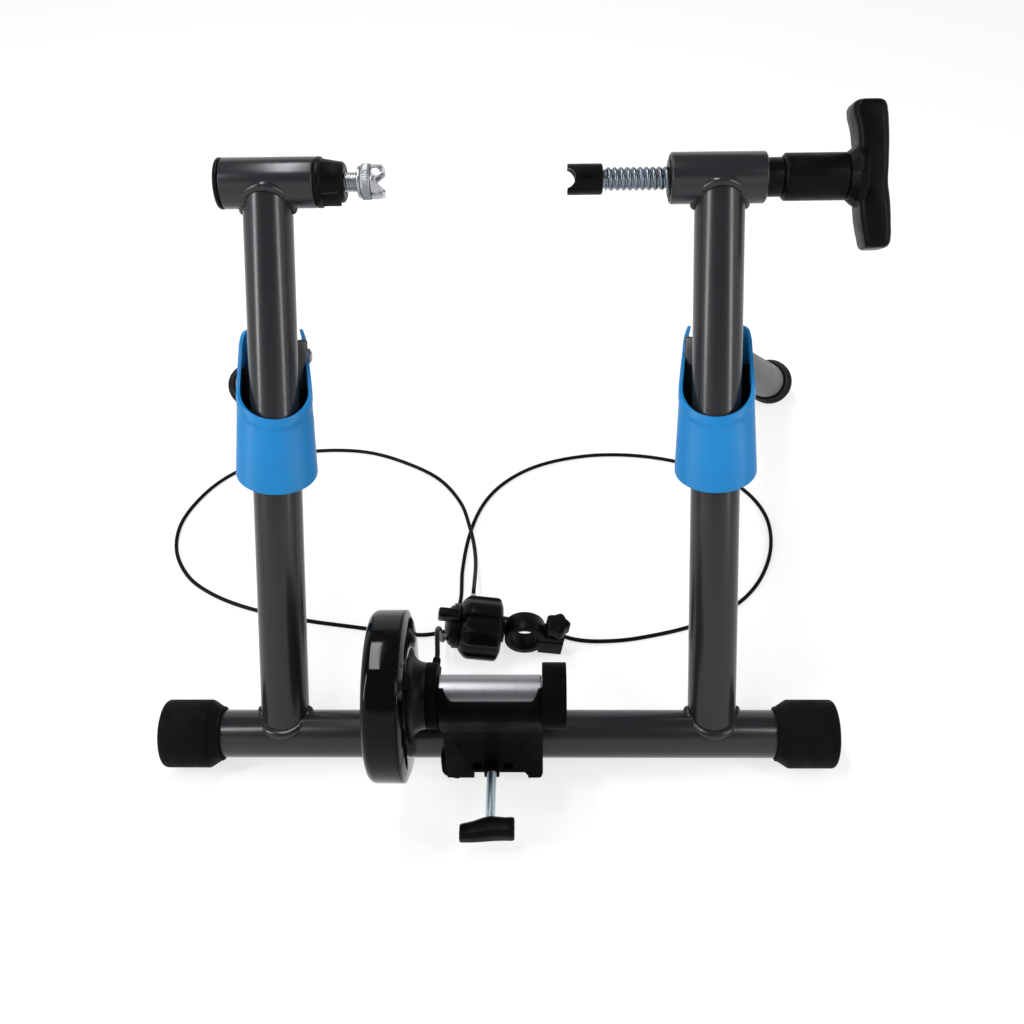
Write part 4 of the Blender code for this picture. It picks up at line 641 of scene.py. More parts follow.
def steel(colours):
    return plated("steel", colours.steel, 0.34, 0.50, 0.12)


def roller_silver(colours):
    """Turned aluminium, with the fine rings that the tool leaves round the roller."""
    metal = Finish("roller_silver", colours.roller_silver, 0.36, 1.0)
    lines = metal.grain(60.0, 4.0, 0.6, (42.0, 0.6, 0.6))
    metal.vary_colour(lines, 0.95, 1.03)
    metal.vary_roughness(lines, 0.32, 0.40)
    metal.bump(lines, 0.04, 0.0002)
    return metal.material


def cable_jacket(colours):
    """The cable's black jacket, slightly glossy and faintly ringed."""
    jacket = Finish("cable_jacket", colours.cable_jacket, 0.40, 0.0, 0.10)
    jacket.vary_colour(jacket.grain(60.0, 4.0), 0.8, 1.3)
    jacket.vary_roughness(jacket.grain(110.0, 3.0), 0.34, 0.48)
    jacket.bump(jacket.grain(900.0, 2.0), 0.08, 0.0002)
    return jacket.material


FINISH_MAKERS = {maker.__name__: maker for maker in (
    frame_paint, blue_plastic, rubber, black_plastic, matt_black, leg_paint, gloss_black, zinc, blue_zinc,
    grey_zinc, steel, roller_silver, cable_jacket)}


def material(name):
    """One shared material for each finish, made when it is first asked for."""
    if name not in made_materials:
        made_materials[name] = FINISH_MAKERS[name](bpy.context.scene.trainer_colours)
    return made_materials[name]


def colour(name, description, value):
    return FloatVectorProperty(name=name, description=description, subtype="COLOR", size=3, default=value,
                               min=0.0, max=1.0)


def length(name, description, value):
    return FloatProperty(name=name, description=description, unit="LENGTH", default=value, min=0.0001,
                         soft_max=0.2, precision=4)


class TrainerColours(bpy.types.PropertyGroup):
    """The colours of the trainer's finishes."""
    frame_paint: colour("Frame paint", "Dark grey metallic enamel of the tubes", (0.021, 0.023, 0.026))
    blue_plastic: colour("Shrouds", "Blue plastic of the two hinge shrouds", (0.008, 0.215, 0.540))
    rubber: colour("Feet", "Black rubber of the four feet", (0.0032, 0.0032, 0.0034))
    black_plastic: colour("Black plastic", "Cradle, collars, handle and shifter", (0.0026, 0.0026, 0.0029))
    gloss_black: colour("Housing", "Polished shell of the magnet housing", (0.0022, 0.0022, 0.0026))
    zinc: colour("Zinc", "Bright plated screws and washers", (0.43, 0.44, 0.46))
    blue_zinc: colour("Blue zinc", "Bluish plating of the lock bolt", (0.50, 0.62, 0.68))
    grey_zinc: colour("Grey zinc", "Darker plating of the clamp screw", (0.21, 0.24, 0.28))
    steel: colour("Grey steel", "Lock nut, bearings and axle", (0.33, 0.34, 0.35))
    roller_silver: colour("Roller", "Turned aluminium of the roller", (0.27, 0.27, 0.29))
    cable_jacket: colour("Cable", "Jacket of the remote cable", (0.0026, 0.0026, 0.0028))
    floor: colour("Floor", "Pale floor of the stage", (0.80, 0.80, 0.80))


class TrainerSizes(bpy.types.PropertyGroup):
    """The sizes of the trainer's small details."""
    left_pitch: length("Left thread pitch", "Pitch of the adjusting screw on the left", 0.002)
    right_pitch: length("Right thread pitch", "Pitch of the clamp screw on the right", 0.005)
    bolt_pitch: length("Lock bolt pitch", "Pitch of the bolt under the roller", 0.00125)
    tube_edge: length("Tube edge", "Rounding of the tubes' cut ends", 0.0005)
    plastic_edge: length("Plastic edge", "Rounding of the moulded pieces' edges", 0.0009)
    knurl_depth: length("Knurl depth", "Depth of the lock nut's knurl", 0.0003)
    rim_band: length("Shroud rim", "Width of the raised band round a shroud's opening", 0.005)


def sizes():
    return bpy.context.scene.trainer_sizes


# Camera and cable
CAMERA_PLACE = Vector((0.0385, BASE_Y - 0.5578, 0.8422))
CAMERA_HEADING = radians(-2.13)
CAMERA_DIP = radians(44.63)
CAMERA_ROLL = radians(-1.73)
CAMERA_LENS = 40.27


class TRAINER_OT_camera(bpy.types.Operator):
    """Set up the camera in front of and above the trainer"""
    bl_idname = "trainer.camera"
    bl_label = "Camera"

    def execute(self, context):
        flat = cos(CAMERA_DIP)
        forward = Vector((sin(CAMERA_HEADING) * flat, cos(CAMERA_HEADING) * flat, -sin(CAMERA_DIP)))
        right = Vector((cos(CAMERA_HEADING), -sin(CAMERA_HEADING), 0.0))
        up = right.cross(forward)
        tilted_right = right * cos(CAMERA_ROLL) + up * sin(CAMERA_ROLL)
        tilted_up = up * cos(CAMERA_ROLL) - right * sin(CAMERA_ROLL)
        data = bpy.data.cameras.new("camera")
        data.lens = CAMERA_LENS
        data.sensor_width = 36.0
        data.clip_start = 0.01
        camera = bpy.data.objects.new("camera", data)
        context.scene.collection.objects.link(camera)
        turn = Matrix((tilted_right, tilted_up, -forward)).transposed().to_4x4()
        camera.matrix_world = Matrix.Translation(CAMERA_PLACE) @ turn
        context.scene.camera = camera
        return {"FINISHED"}


GLAND_ANGLE = radians(-10.0)
GLAND_REACH = NECK_RADIUS + GAP + 0.016
GLAND_OUT = Vector((0.0, cos(GLAND_ANGLE), sin(GLAND_ANGLE)))
GLAND_PLACE = Vector((CRADLE_LEFT - 0.004, BASE_Y + ROLLER_Y, BASE_Z + ROLLER_Z))

# The cable's route, from below the base tube's axis: down from the unit, two loops, and up again
CABLE_DROP = (
    (-0.0485, 0.045, 0.110), (-0.050, 0.076, 0.070), (-0.053, 0.099, 0.030), (-0.052, 0.120, 0.0105),
    (-0.047, 0.143, 0.0050),
)
CABLE_LOOPS = (
    (-0.041, 0.171), (-0.041, 0.211), (-0.036, 0.259), (-0.025, 0.300), (-0.007, 0.331), (0.022, 0.357),
    (0.058, 0.373), (0.104, 0.381), (0.156, 0.377), (0.204, 0.361), (0.247, 0.330), (0.268, 0.290),
    (0.269, 0.246), (0.254, 0.202), (0.228, 0.168), (0.186, 0.141), (0.129, 0.124), (0.092, 0.120),
    (0.066, 0.123), (0.043, 0.134), (0.016, 0.145), (-0.018, 0.149), (-0.047, 0.1345), (-0.073, 0.128),
    (-0.100, 0.131), (-0.143, 0.138), (-0.184, 0.145), (-0.222, 0.154), (-0.258, 0.166), (-0.289, 0.182),
    (-0.314, 0.203), (-0.333, 0.236), (-0.338, 0.272), (-0.330, 0.305), (-0.311, 0.339), (-0.283, 0.365),
    (-0.242, 0.384), (-0.195, 0.391), (-0.149, 0.386), (-0.104, 0.366),
)
CABLE_RISE = (
    (-0.071, 0.341, 0.0030), (-0.047, 0.303, 0.0055), (-0.036, 0.266, 0.0078), (-0.030, 0.236, 0.0105),
    (-0.027, 0.205, 0.0170),
)


def smooth_points(route, count):
    """Even points along a centripetal curve through the route's own points."""
    dense = []
    for i in range(len(route) - 1):
        before, start = route[max(i - 1, 0)], route[i]
        end, after = route[i + 1], route[min(i + 2, len(route) - 1)]
        span = (end - start).length
        lean_in = (end - before) * (span / max(span + (start - before).length, 1e-9))
        lean_out = (after - start) * (span / max((after - end).length + span, 1e-9))
        for step in range(12):
            t = step / 12
            dense.append((2 * t ** 3 - 3 * t ** 2 + 1) * start + (t ** 3 - 2 * t ** 2 + t) * lean_in
                         + (3 * t ** 2 - 2 * t ** 3) * end + (t ** 3 - t ** 2) * lean_out)
    dense.append(route[-1])
    lengths = [0.0]
    for near, far in zip(dense, dense[1:]):
        lengths.append(lengths[-1] + (far - near).length)
    points = []
    index = 0
    for i in range(count):
        goal = lengths[-1] * i / (count - 1)
        while index < len(dense) - 2 and lengths[index + 1] < goal:
            index += 1
        share = (goal - lengths[index]) / (lengths[index + 1] - lengths[index])
        points.append(dense[index].lerp(dense[index + 1], min(max(share, 0.0), 1.0)))
    return points, lengths[-1]


def cable_points():
    """The whole cable, from the gland's tip to the ferrule's tip."""
    start = GLAND_PLACE + GLAND_OUT * (GLAND_REACH + GAP)
    end = SHIFTER @ Vector((FERRULE_X, FERRULE_END + GAP, 0.0))
    lead = CABLE_RADIUS * 3
    route = [start, start + GLAND_OUT * lead]
    loops = tuple((x, y, CABLE_FLOOR) for x, y in CABLE_LOOPS)
    route += [Vector((x, y + BASE_Y, z)) for x, y, z in CABLE_DROP + loops + CABLE_RISE]
    route += [end + Vector((0.0, 0.018, -0.004)), end + Vector((0.0, lead, 0.0)), end]
    return smooth_points(route, CABLE_POINTS)


class TRAINER_OT_cable(bpy.types.Operator):
    """Lay the remote cable from the unit's gland to the shifter's ferrule"""
    bl_idname = "trainer.cable"
    bl_label = "Remote cable"

    def execute(self, context):
        points, total = cable_points()
        curve = bpy.data.curves.new("remote_cable_line", "CURVE")
        curve.dimensions = "3D"
        curve.bevel_depth = CABLE_RADIUS
        curve.bevel_resolution = 3
        curve.use_fill_caps = True
        spline = curve.splines.new("POLY")
        spline.points.add(len(points) - 1)
        for point, place in zip(spline.points, points):
            point.co = (*place, 1.0)
        line = bpy.data.objects.new("remote_cable_line", curve)
        bm = bmesh.new()
        bm.from_mesh(line.to_mesh())
        line.to_mesh_clear()
        bpy.data.objects.remove(line)
        bpy.data.curves.remove(curve)
        merge(bm, 1e-5)
        cable = new_object("remote_cable_jacket", bm)
        cable.data.shade_smooth()
        cable.data.materials.append(material("cable_jacket"))
        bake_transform(cable)
        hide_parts("remote_cable")
        return {"FINISHED"}


# Stage
def area_light(name, place, aim, width, height, power):
    """A soft box that faces a point."""
    data = bpy.data.lights.new(name, "AREA")
    data.shape = "RECTANGLE"
    data.size = width
    data.size_y = height
    data.energy = power
    lamp = bpy.data.objects.new(name, data)
    bpy.context.scene.collection.objects.link(lamp)
    lamp.location = place
    lamp.rotation_euler = (Vector(aim) - Vector(place)).to_track_quat("-Z", "Y").to_euler()


def floor_material(shade):
    """A pale matt floor that reads white where no shadow falls."""
    floor = bpy.data.materials.new("stage_floor")
    floor.use_nodes = True
    tree = floor.node_tree
    tree.nodes.clear()
    matt = add_node(tree, "ShaderNodeBsdfDiffuse", [("Color", (*[c * 0.5 for c in shade], 1.0))])
    path = add_node(tree, "ShaderNodeLightPath")
    seen = path.outputs["Is Camera Ray"]
    for ray in ("Is Glossy Ray", "Is Transmission Ray"):
        either = add_node(tree, "ShaderNodeMath", links=[(0, seen), (1, path.outputs[ray])])
        either.operation = "MAXIMUM"
        seen = either.outputs[0]
    level = add_node(tree, "ShaderNodeMath", [(1, 0.70)], [(0, seen)])
    level.operation = "MULTIPLY"
    glow = add_node(tree, "ShaderNodeEmission", links=[("Strength", level.outputs[0])])
    both = add_node(tree, "ShaderNodeAddShader", links=[(0, matt.outputs[0]), (1, glow.outputs[0])])
    add_node(tree, "ShaderNodeOutputMaterial", links=[("Surface", both.outputs[0])])
    return floor


class TRAINER_OT_stage(bpy.types.Operator):
    """Set the pale floor, the background and the soft lights"""
    bl_idname = "trainer.stage"
    bl_label = "Stage and lights"

    def execute(self, context):
        scene = context.scene
        scene.view_settings.view_transform = "Standard"
        bm = bmesh.new()
        bmesh.ops.create_grid(bm, x_segments=8, y_segments=8, size=14.0)
        floor = new_object("stage_floor", bm)
        floor.data.materials.append(floor_material(scene.trainer_colours.floor))
        floor.location.z = -0.0004

        world = bpy.data.worlds.new("stage_world")
        world.use_nodes = True
        scene.world = world
        tree = world.node_tree
        background = tree.nodes["Background"]
        background.inputs["Color"].default_value = (1.0, 1.0, 1.0, 1.0)
        coords = add_node(tree, "ShaderNodeTexCoord")
        split = add_node(tree, "ShaderNodeSeparateXYZ", links=[("Vector", coords.outputs["Generated"])])
        values = [("From Min", 0.42), ("From Max", 0.62), ("To Min", 1.0), ("To Max", 0.16)]
        height = add_node(tree, "ShaderNodeMapRange", values, [("Value", split.outputs["Z"])])
        height.interpolation_type = "SMOOTHSTEP"
        tree.links.new(height.outputs["Result"], background.inputs["Strength"])

        area_light("strip_left", (-1.40, -0.65, 1.25), (-0.05, 0.0, 0.20), 0.24, 1.3, 15.0)
        area_light("strip_right", (1.35, -0.75, 1.20), (0.05, 0.0, 0.20), 0.18, 1.3, 10.0)
        area_light("window_strip", (-0.37, 0.30, 1.9), (-0.37, -0.25, 0.1), 0.22, 1.3, 17.0)
        return {"FINISHED"}


# Frame
def add_boot(name, bm, place, body, node):
    """Add a rubber foot, cut flat where it stands on the floor."""
    bmesh.ops.transform(bm, matrix=place, verts=bm.verts)
    cut_by_plane(bm, (0.0, 0.0, 0.0), (0.0, 0.0, -1.0))
    add_piece(name, bm, "rubber", body, None, [node])


class TRAINER_OT_base(bpy.types.Operator):
    """Build the base tube and its two rubber feet"""
    bl_idname = "trainer.base"
    bl_label = "Base tube and feet"

    def execute(self, context):
        end = BASE_WIDTH / 2 - FOOT_END_WALL - GAP
        tube = soften(ring(TUBE_RADIUS, TUBE_BORE, -end, end), sizes().tube_edge)
        add_piece("base_bar", tube, "frame_paint", "frame", BASE, ["base_tube"])
        bore = TUBE_RADIUS + GAP
        inside = FOOT_LENGTH - FOOT_END_WALL
        corner = arc((FOOT_RADIUS - FOOT_CORNER, FOOT_LENGTH - FOOT_CORNER), FOOT_CORNER, pi / 2, 0.0, 6)
        profile = [(0.0, FOOT_LENGTH)] + corner
        profile += [(FOOT_RADIUS, FOOT_TAPER + 0.001), (FOOT_RADIUS - 0.0004, FOOT_TAPER)]
        profile += [(bore + FOOT_LIP, 0.0018), (bore + FOOT_LIP, 0.0), (bore, 0.0), (bore, inside)]
        profile += [(0.0, inside)]
        for side, name in SIDES:
            start = Matrix.Translation((side * (BASE_WIDTH / 2 - FOOT_LENGTH), 0.0, 0.0))
            boot = soften(spun(profile), 0.0006, 2, 25.0)
            add_boot(name + "_base_boot", boot, BASE @ start @ facing(side), "frame", name + "_base_foot")
        return {"FINISHED"}


def saddle_tube(height):
    """A tube along Z whose two ends follow the cross tubes that it is welded to, and sink a little in."""
    bm = stand_up(ring(TUBE_RADIUS, TUBE_BORE, 0.0, height))
    for vert in bm.verts:
        rise = sqrt(max(TUBE_RADIUS ** 2 - vert.co.y ** 2, 0.0)) * 0.97
        vert.co.z += rise if vert.co.z < height / 2 else -rise
    return bm


class TRAINER_OT_uprights(bpy.types.Operator):
    """Build the two uprights, their weld beads and the head tubes"""
    bl_idname = "trainer.uprights"
    bl_label = "Uprights and head tubes"

    def execute(self, context):
        for side, name in SIDES:
            foot, head = upright_place(side), head_place(side)
            add_piece(name + "_upright_tube", saddle_tube(UPRIGHT_LENGTH), "frame_paint", "frame", foot,
                      [name + "_upright"])
            for part, place, upward, turn in (("base", foot, 1, 0.4), ("head", head, -1, 1.1)):
                bead = weld_bead(upward, turn * side)
                add_piece("%s_%s_weld" % (name, part), bead, "frame_paint", "frame", place, sharp=60.0)
            start = -HEAD_OUTER if side < 0 else -HEAD_INNER
            end = start + HEAD_OUTER + HEAD_INNER
            edge = TUBE_RADIUS - HEAD_EDGE
            profile = [(edge, start), (TUBE_RADIUS, start + HEAD_EDGE), (TUBE_RADIUS, end - HEAD_EDGE),
                       (edge, end), (TUBE_BORE, end), (TUBE_BORE, start)]
            add_piece(name + "_head_barrel", soften(spun(profile), 0.0004), "frame_paint", "frame", head,
                      [name + "_head_tube"])
        return {"FINISHED"}


# Hinges
def bracket_outline():
    """The hinge bracket's cheek around the pin, from the upright's back to its round nose."""
    nose = arc((0.0, 0.0), BRACKET_NOSE, -pi / 2, pi / 2, 20)
    heel = [(BRACKET_ROOT, BRACKET_FOOT), (BRACKET_WEB, BRACKET_FOOT)]
    return heel + nose + [(BRACKET_ROOT, BRACKET_NOSE)]


def chamfered_hex(width, start, end):
    """A hexagon head whose corners are turned down at both ends."""
    face = width / 2 * 0.96
    corner = width / 2 * 1.10 + 0.0004
    drop = 0.14 * width * 0.5
    cone = spun([(0.0, start - 1e-4), (face, start - 1e-4), (corner, start + drop), (corner, end - drop),
                 (face, end + 1e-4), (0.0, end + 1e-4)], SMALL_ROUND)
    return intersected(prism(hexagon(width), start, end), cone)


class TRAINER_OT_hinges(bpy.types.Operator):
    """Build the hinge brackets with their bolts and nuts"""
    bl_idname = "trainer.hinges"
    bl_label = "Hinge brackets and bolts"

    def execute(self, context):
        half = LEG_SLOT + CHEEK
        grip = half + GAP
        nut_top = -grip - PIN_NUT_HEIGHT
        end = nut_top - 0.0015
        shank = [(0.0, end), (PIN_RADIUS - 0.0008, end), (PIN_RADIUS, end + 0.001),
                 (PIN_RADIUS, grip + 0.001), (0.0, grip + 0.001)]
        # The slot goes a little past the web's face, so that no sliver stays across it
        slot_floor = BRACKET_WEB - 0.0002
        for side, name in SIDES:
            place = pin_place(side)
            body = soften(prism(bracket_outline(), -half, half), 0.0016, 3, 50.0)
            slot_cut = block((-LEG_SLOT, slot_floor, -0.05), (LEG_SLOT, 0.05, 0.05))
            tube_cut = stand_up(rod(TUBE_RADIUS + 0.0001, -0.05, 0.05))
            moved(tube_cut, side * sin(TOE_OUT) * HINGE_BACK, -cos(TOE_OUT) * HINGE_BACK)
            pin_hole = rod(PIN_RADIUS + GAP, -0.05, 0.05, SMALL_ROUND)
            body = carved(body, [slot_cut, tube_cut, pin_hole])
            add_piece(name + "_hinge_channel", body, "frame_paint", "frame", place,
                      [name + "_hinge_bracket"])

            place = place @ facing(side)
            bolt = chamfered_hex(PIN_HEX, grip, grip + PIN_HEAD_HEIGHT)
            bolt = carved(bolt, adds=[spun(shank, SMALL_ROUND)])
            add_piece(name + "_hinge_pin", bolt, "zinc", "frame", place, [name + "_hinge_bolt"])
            nut = chamfered_hex(PIN_HEX, nut_top, -grip)
            nut = carved(nut, [rod(PIN_RADIUS + GAP, -0.06, 0.06, SMALL_ROUND)])
            add_piece(name + "_pin_nut", nut, "zinc", "frame", place, [name + "_hinge_nut"])
        return {"FINISHED"}


def shroud_half_width(height):
    """The shroud is wider at its lower front edge than at its top."""
    share = (height - SHROUD_FRONT_LOW) / (HINGE_UP - SHROUD_FRONT_LOW)
    return SHROUD_LOW_HALF - SHROUD_TAPER * share


def shroud_back_half(height):
    """The shroud's back leaves room for the folded leg below, and closes in above the pin."""
    room = SHROUD_BACK_HALF - SHROUD_NARROWING * eased(height, SHROUD_NARROW_START, SHROUD_NARROW_SPAN)
    return room - SHROUD_CLOSING * max(0.0, height - SHROUD_CLOSING_START)


def shroud_section(height, side):
    """A half oval round the tube's front, two walls, and a lip behind on the outer side."""
    wide = shroud_half_width(height)
    taper = wide - shroud_back_half(height)

    def wall(along):
        return wide - taper * (along / SHROUD_BACK) ** 2

    turn_in = SHROUD_BACK - SHROUD_CORNER
    middle = wall(turn_in) - SHROUD_CORNER
    points = [(SHROUD_LIP, SHROUD_BACK)]
    points += arc((middle, turn_in), SHROUD_CORNER, pi / 2, 0.0, 6)
    points += [(wall(turn_in * (1.0 - i / 12)), turn_in * (1.0 - i / 12)) for i in range(1, 12)]
    points += [(wide * cos(a), SHROUD_FRONT * sin(a)) for a in [-pi * i / 48 for i in range(49)]]
    points += [(-wall(SHROUD_BACK * i / 12), SHROUD_BACK * i / 12) for i in range(1, 13)]
    return [(side * x, y, height) for x, y in points]


def shroud_shell(side):
    """The outside of the shroud as a sheet, cut at a slant at both ends."""
    bm = bmesh.new()
    low, high = SHROUD_FRONT_LOW - 0.03, HINGE_UP + 0.06
    rows = []
    for i in range(41):
        height = low + (high - low) * i / 40
        row = [bm.verts.new(point) for point in shroud_section(height, side)]
        rows.append([bm.edges.new(pair) for pair in zip(row, row[1:])])
    for near, far in zip(rows, rows[1:]):
        bmesh.ops.bridge_loops(bm, edges=near + far)
    for height, slope, keep in ((SHROUD_FRONT_HIGH, SHROUD_SLOPE, 1), (SHROUD_FRONT_LOW, UPRIGHT_LEAN, -1)):
        normal = Vector((0.0, -sin(slope), cos(slope))) * keep
        cut_by_plane(bm, (0.0, -SHROUD_FRONT, height), normal, close=False)
    bmesh.ops.recalc_face_normals(bm, faces=bm.faces)
    return bm


def raise_rim(bm, point, normal):
    """Raise a narrow band along the shroud's upper edge, and turn the sheet's faces outwards."""
    band = sizes().rim_band
    for offset in (band, band + SHROUD_RIM_STEP):
        bmesh.ops.bisect_plane(bm, geom=bm.verts[:] + bm.edges[:] + bm.faces[:],
                               plane_co=point - normal * offset, plane_no=normal)
    bm.normal_update()
    outward = 0.0
    for face in bm.faces:
        middle = face.calc_center_median()
        outward += face.normal.dot(Vector((middle.x, min(middle.y, 0.0), 0.0)))
    if outward < 0.0:
        bmesh.ops.reverse_faces(bm, faces=bm.faces)
    bm.normal_update()
    near = [vert for vert in bm.verts if (point - vert.co).dot(normal) < band + SHROUD_RIM_STEP / 2]
    shifts = [vert.normal * SHROUD_RIM_RISE for vert in near]
    for vert, shift in zip(near, shifts):
        vert.co += shift


def shroud_shade_rib():
    """A black rib behind the tube between the shroud's walls that closes the gap there; its black is
    painted shade for the dark inside of the shroud.
    """
    low, high = 0.246, 0.309
    outline = [(-0.0306, low), (0.0306, low), (0.0276, high), (-0.0276, high)]
    return soften(slab(outline, 0.0206, 0.0240), 0.0006, 2, 30.0)


class TRAINER_OT_shrouds(bpy.types.Operator):
    """Build the blue shrouds that cover the hinges"""
    bl_idname = "trainer.shrouds"
    bl_label = "Blue hinge shrouds"

    def execute(self, context):
        rim_normal = Vector((0.0, -sin(SHROUD_SLOPE), cos(SHROUD_SLOPE)))
        rim_point = Vector((0.0, -SHROUD_FRONT, SHROUD_FRONT_HIGH))
        room = LEG_SLOT + CHEEK + 0.0004
        for side, name in SIDES:
            bm = shroud_shell(side)
            raise_rim(bm, rim_point, rim_normal)
            bmesh.ops.solidify(bm, geom=bm.faces[:], thickness=SHROUD_WALL)
            merge(bm)
            soften(bm, SHROUD_EDGE, 3, 45.0)
            turn = Matrix.Rotation(side * SHROUD_TURN[side], 4, "Z")
            to_pin = turn @ Matrix.Translation((0.0, HINGE_BACK, HINGE_UP))
            to_pin = to_pin @ Matrix.Rotation(-side * TOE_OUT, 4, "Z")
            cheeks = prism(bracket_outline(), -room, room)
            hole = moved(rod(0.0085, -0.03, 0.03, SMALL_ROUND), x=-side * 0.03)
            for tool in (cheeks, hole):
                bmesh.ops.transform(tool, matrix=to_pin, verts=tool.verts)
            place = upright_place(side) @ turn.inverted()
            # The rib is black as painted shade: it stands for the shade inside the shroud, behind the tube
            rib = carved(shroud_shade_rib(), [cheeks.copy(), hole.copy()])
            add_piece(name + "_shroud_painted_shade", rib, "black_plastic", "frame", place)
            add_piece(name + "_blue_shroud", carved(bm, [cheeks, hole]), "blue_plastic", "frame", place,
                      [name + "_hinge_shroud"], sharp=40.0)
        return {"FINISHED"}


# Legs
def leg_reach():
    """From the pin to the end of the leg's foot, so that the foot's sole is on the floor."""
    fall = sin(LEG_OPEN) * cos(TOE_OUT) * sin(UPRIGHT_LEAN) + cos(LEG_OPEN) * cos(UPRIGHT_LEAN)
    pin_height = BASE_Z + HINGE_UP * cos(UPRIGHT_LEAN) - HINGE_BACK * sin(UPRIGHT_LEAN)
    drop = LEG_FOOT_RADIUS * sqrt(1.0 - fall ** 2)
    return (pin_height - drop + LEG_FOOT_FLAT) / fall


def leg_bar(end):
    """The leg's tube along Z, pressed narrower and rounded about the pin at its upper end."""
    heights = [-0.030] + [LEG_WIDEN_START + LEG_WIDEN_SPAN * i / 8 for i in range(9)] + [0.11, end]
    sections = []
    for height in heights:
        press = LEG_PINCH + (LEG_RADIUS - LEG_PINCH) * eased(height, LEG_WIDEN_START, LEG_WIDEN_SPAN)
        angles = [2 * pi * i / ROUND for i in range(ROUND)]
        sections.append([(press * cos(a), LEG_RADIUS * sin(a), height) for a in angles])
    side = LEG_RADIUS + 0.0001
    outline = arc((0.0, 0.0), side, pi, 2 * pi, 40) + [(side, end + 0.01), (-side, end + 0.01)]
    return intersected(lofted(sections), prism(outline, -0.03, 0.03))


class TRAINER_OT_legs(bpy.types.Operator):
    """Build the two fold-out legs and their rubber feet"""
    bl_idname = "trainer.legs"
    bl_label = "Fold-out legs"

    def execute(self, context):
        reach = leg_reach()
        inside = reach - LEG_FOOT_END_WALL
        bore = LEG_RADIUS + GAP
        start = reach - LEG_FOOT_LENGTH
        radius = LEG_FOOT_RADIUS
        corner = arc((radius - FOOT_CORNER, reach - FOOT_CORNER), FOOT_CORNER, pi / 2, 0.0, 6)
        profile = [(0.0, reach)] + corner
        profile += [(radius, reach - 0.010), (radius - 0.0008, reach - 0.014),
                    (radius - 0.0028, reach - 0.019), (radius - 0.0035, reach - 0.024),
                    (radius - 0.0036, start + 0.001), (radius - 0.0046, start), (bore, start),
                    (bore, inside), (0.0, inside)]
        for side, name in SIDES:
            place = leg_place(side)
            hollow = stand_up(rod(LEG_RADIUS - LEG_WALL, 0.060, reach))
            pin_hole = rod(PIN_RADIUS + GAP, -0.05, 0.05, SMALL_ROUND)
            tube = carved(leg_bar(inside - GAP), [hollow, pin_hole])
            add_piece(name + "_leg_bar", tube, "leg_paint", name + "_leg", place, [name + "_leg_tube"])
            foot = soften(stand_up(spun(profile)), 0.0006, 2, 25.0)
            add_boot(name + "_leg_boot", foot, place, name + "_leg", name + "_leg_foot")
        return {"FINISHED"}


# Left axle holder
def knurled(bm, radius, depth, count):
    """Press fine teeth into the outside of a turned piece."""
    for vert in bm.verts:
        reach = hypot(vert.co.y, vert.co.z)
        if reach > radius - 0.0004:
            angle = Vector((vert.co.y, vert.co.z)).angle_signed(Vector((1.0, 0.0)), 0.0)
            scale = 1.0 - depth / radius * (0.5 + 0.5 * cos(count * angle))
            vert.co.y *= scale
            vert.co.z *= scale
    return bm


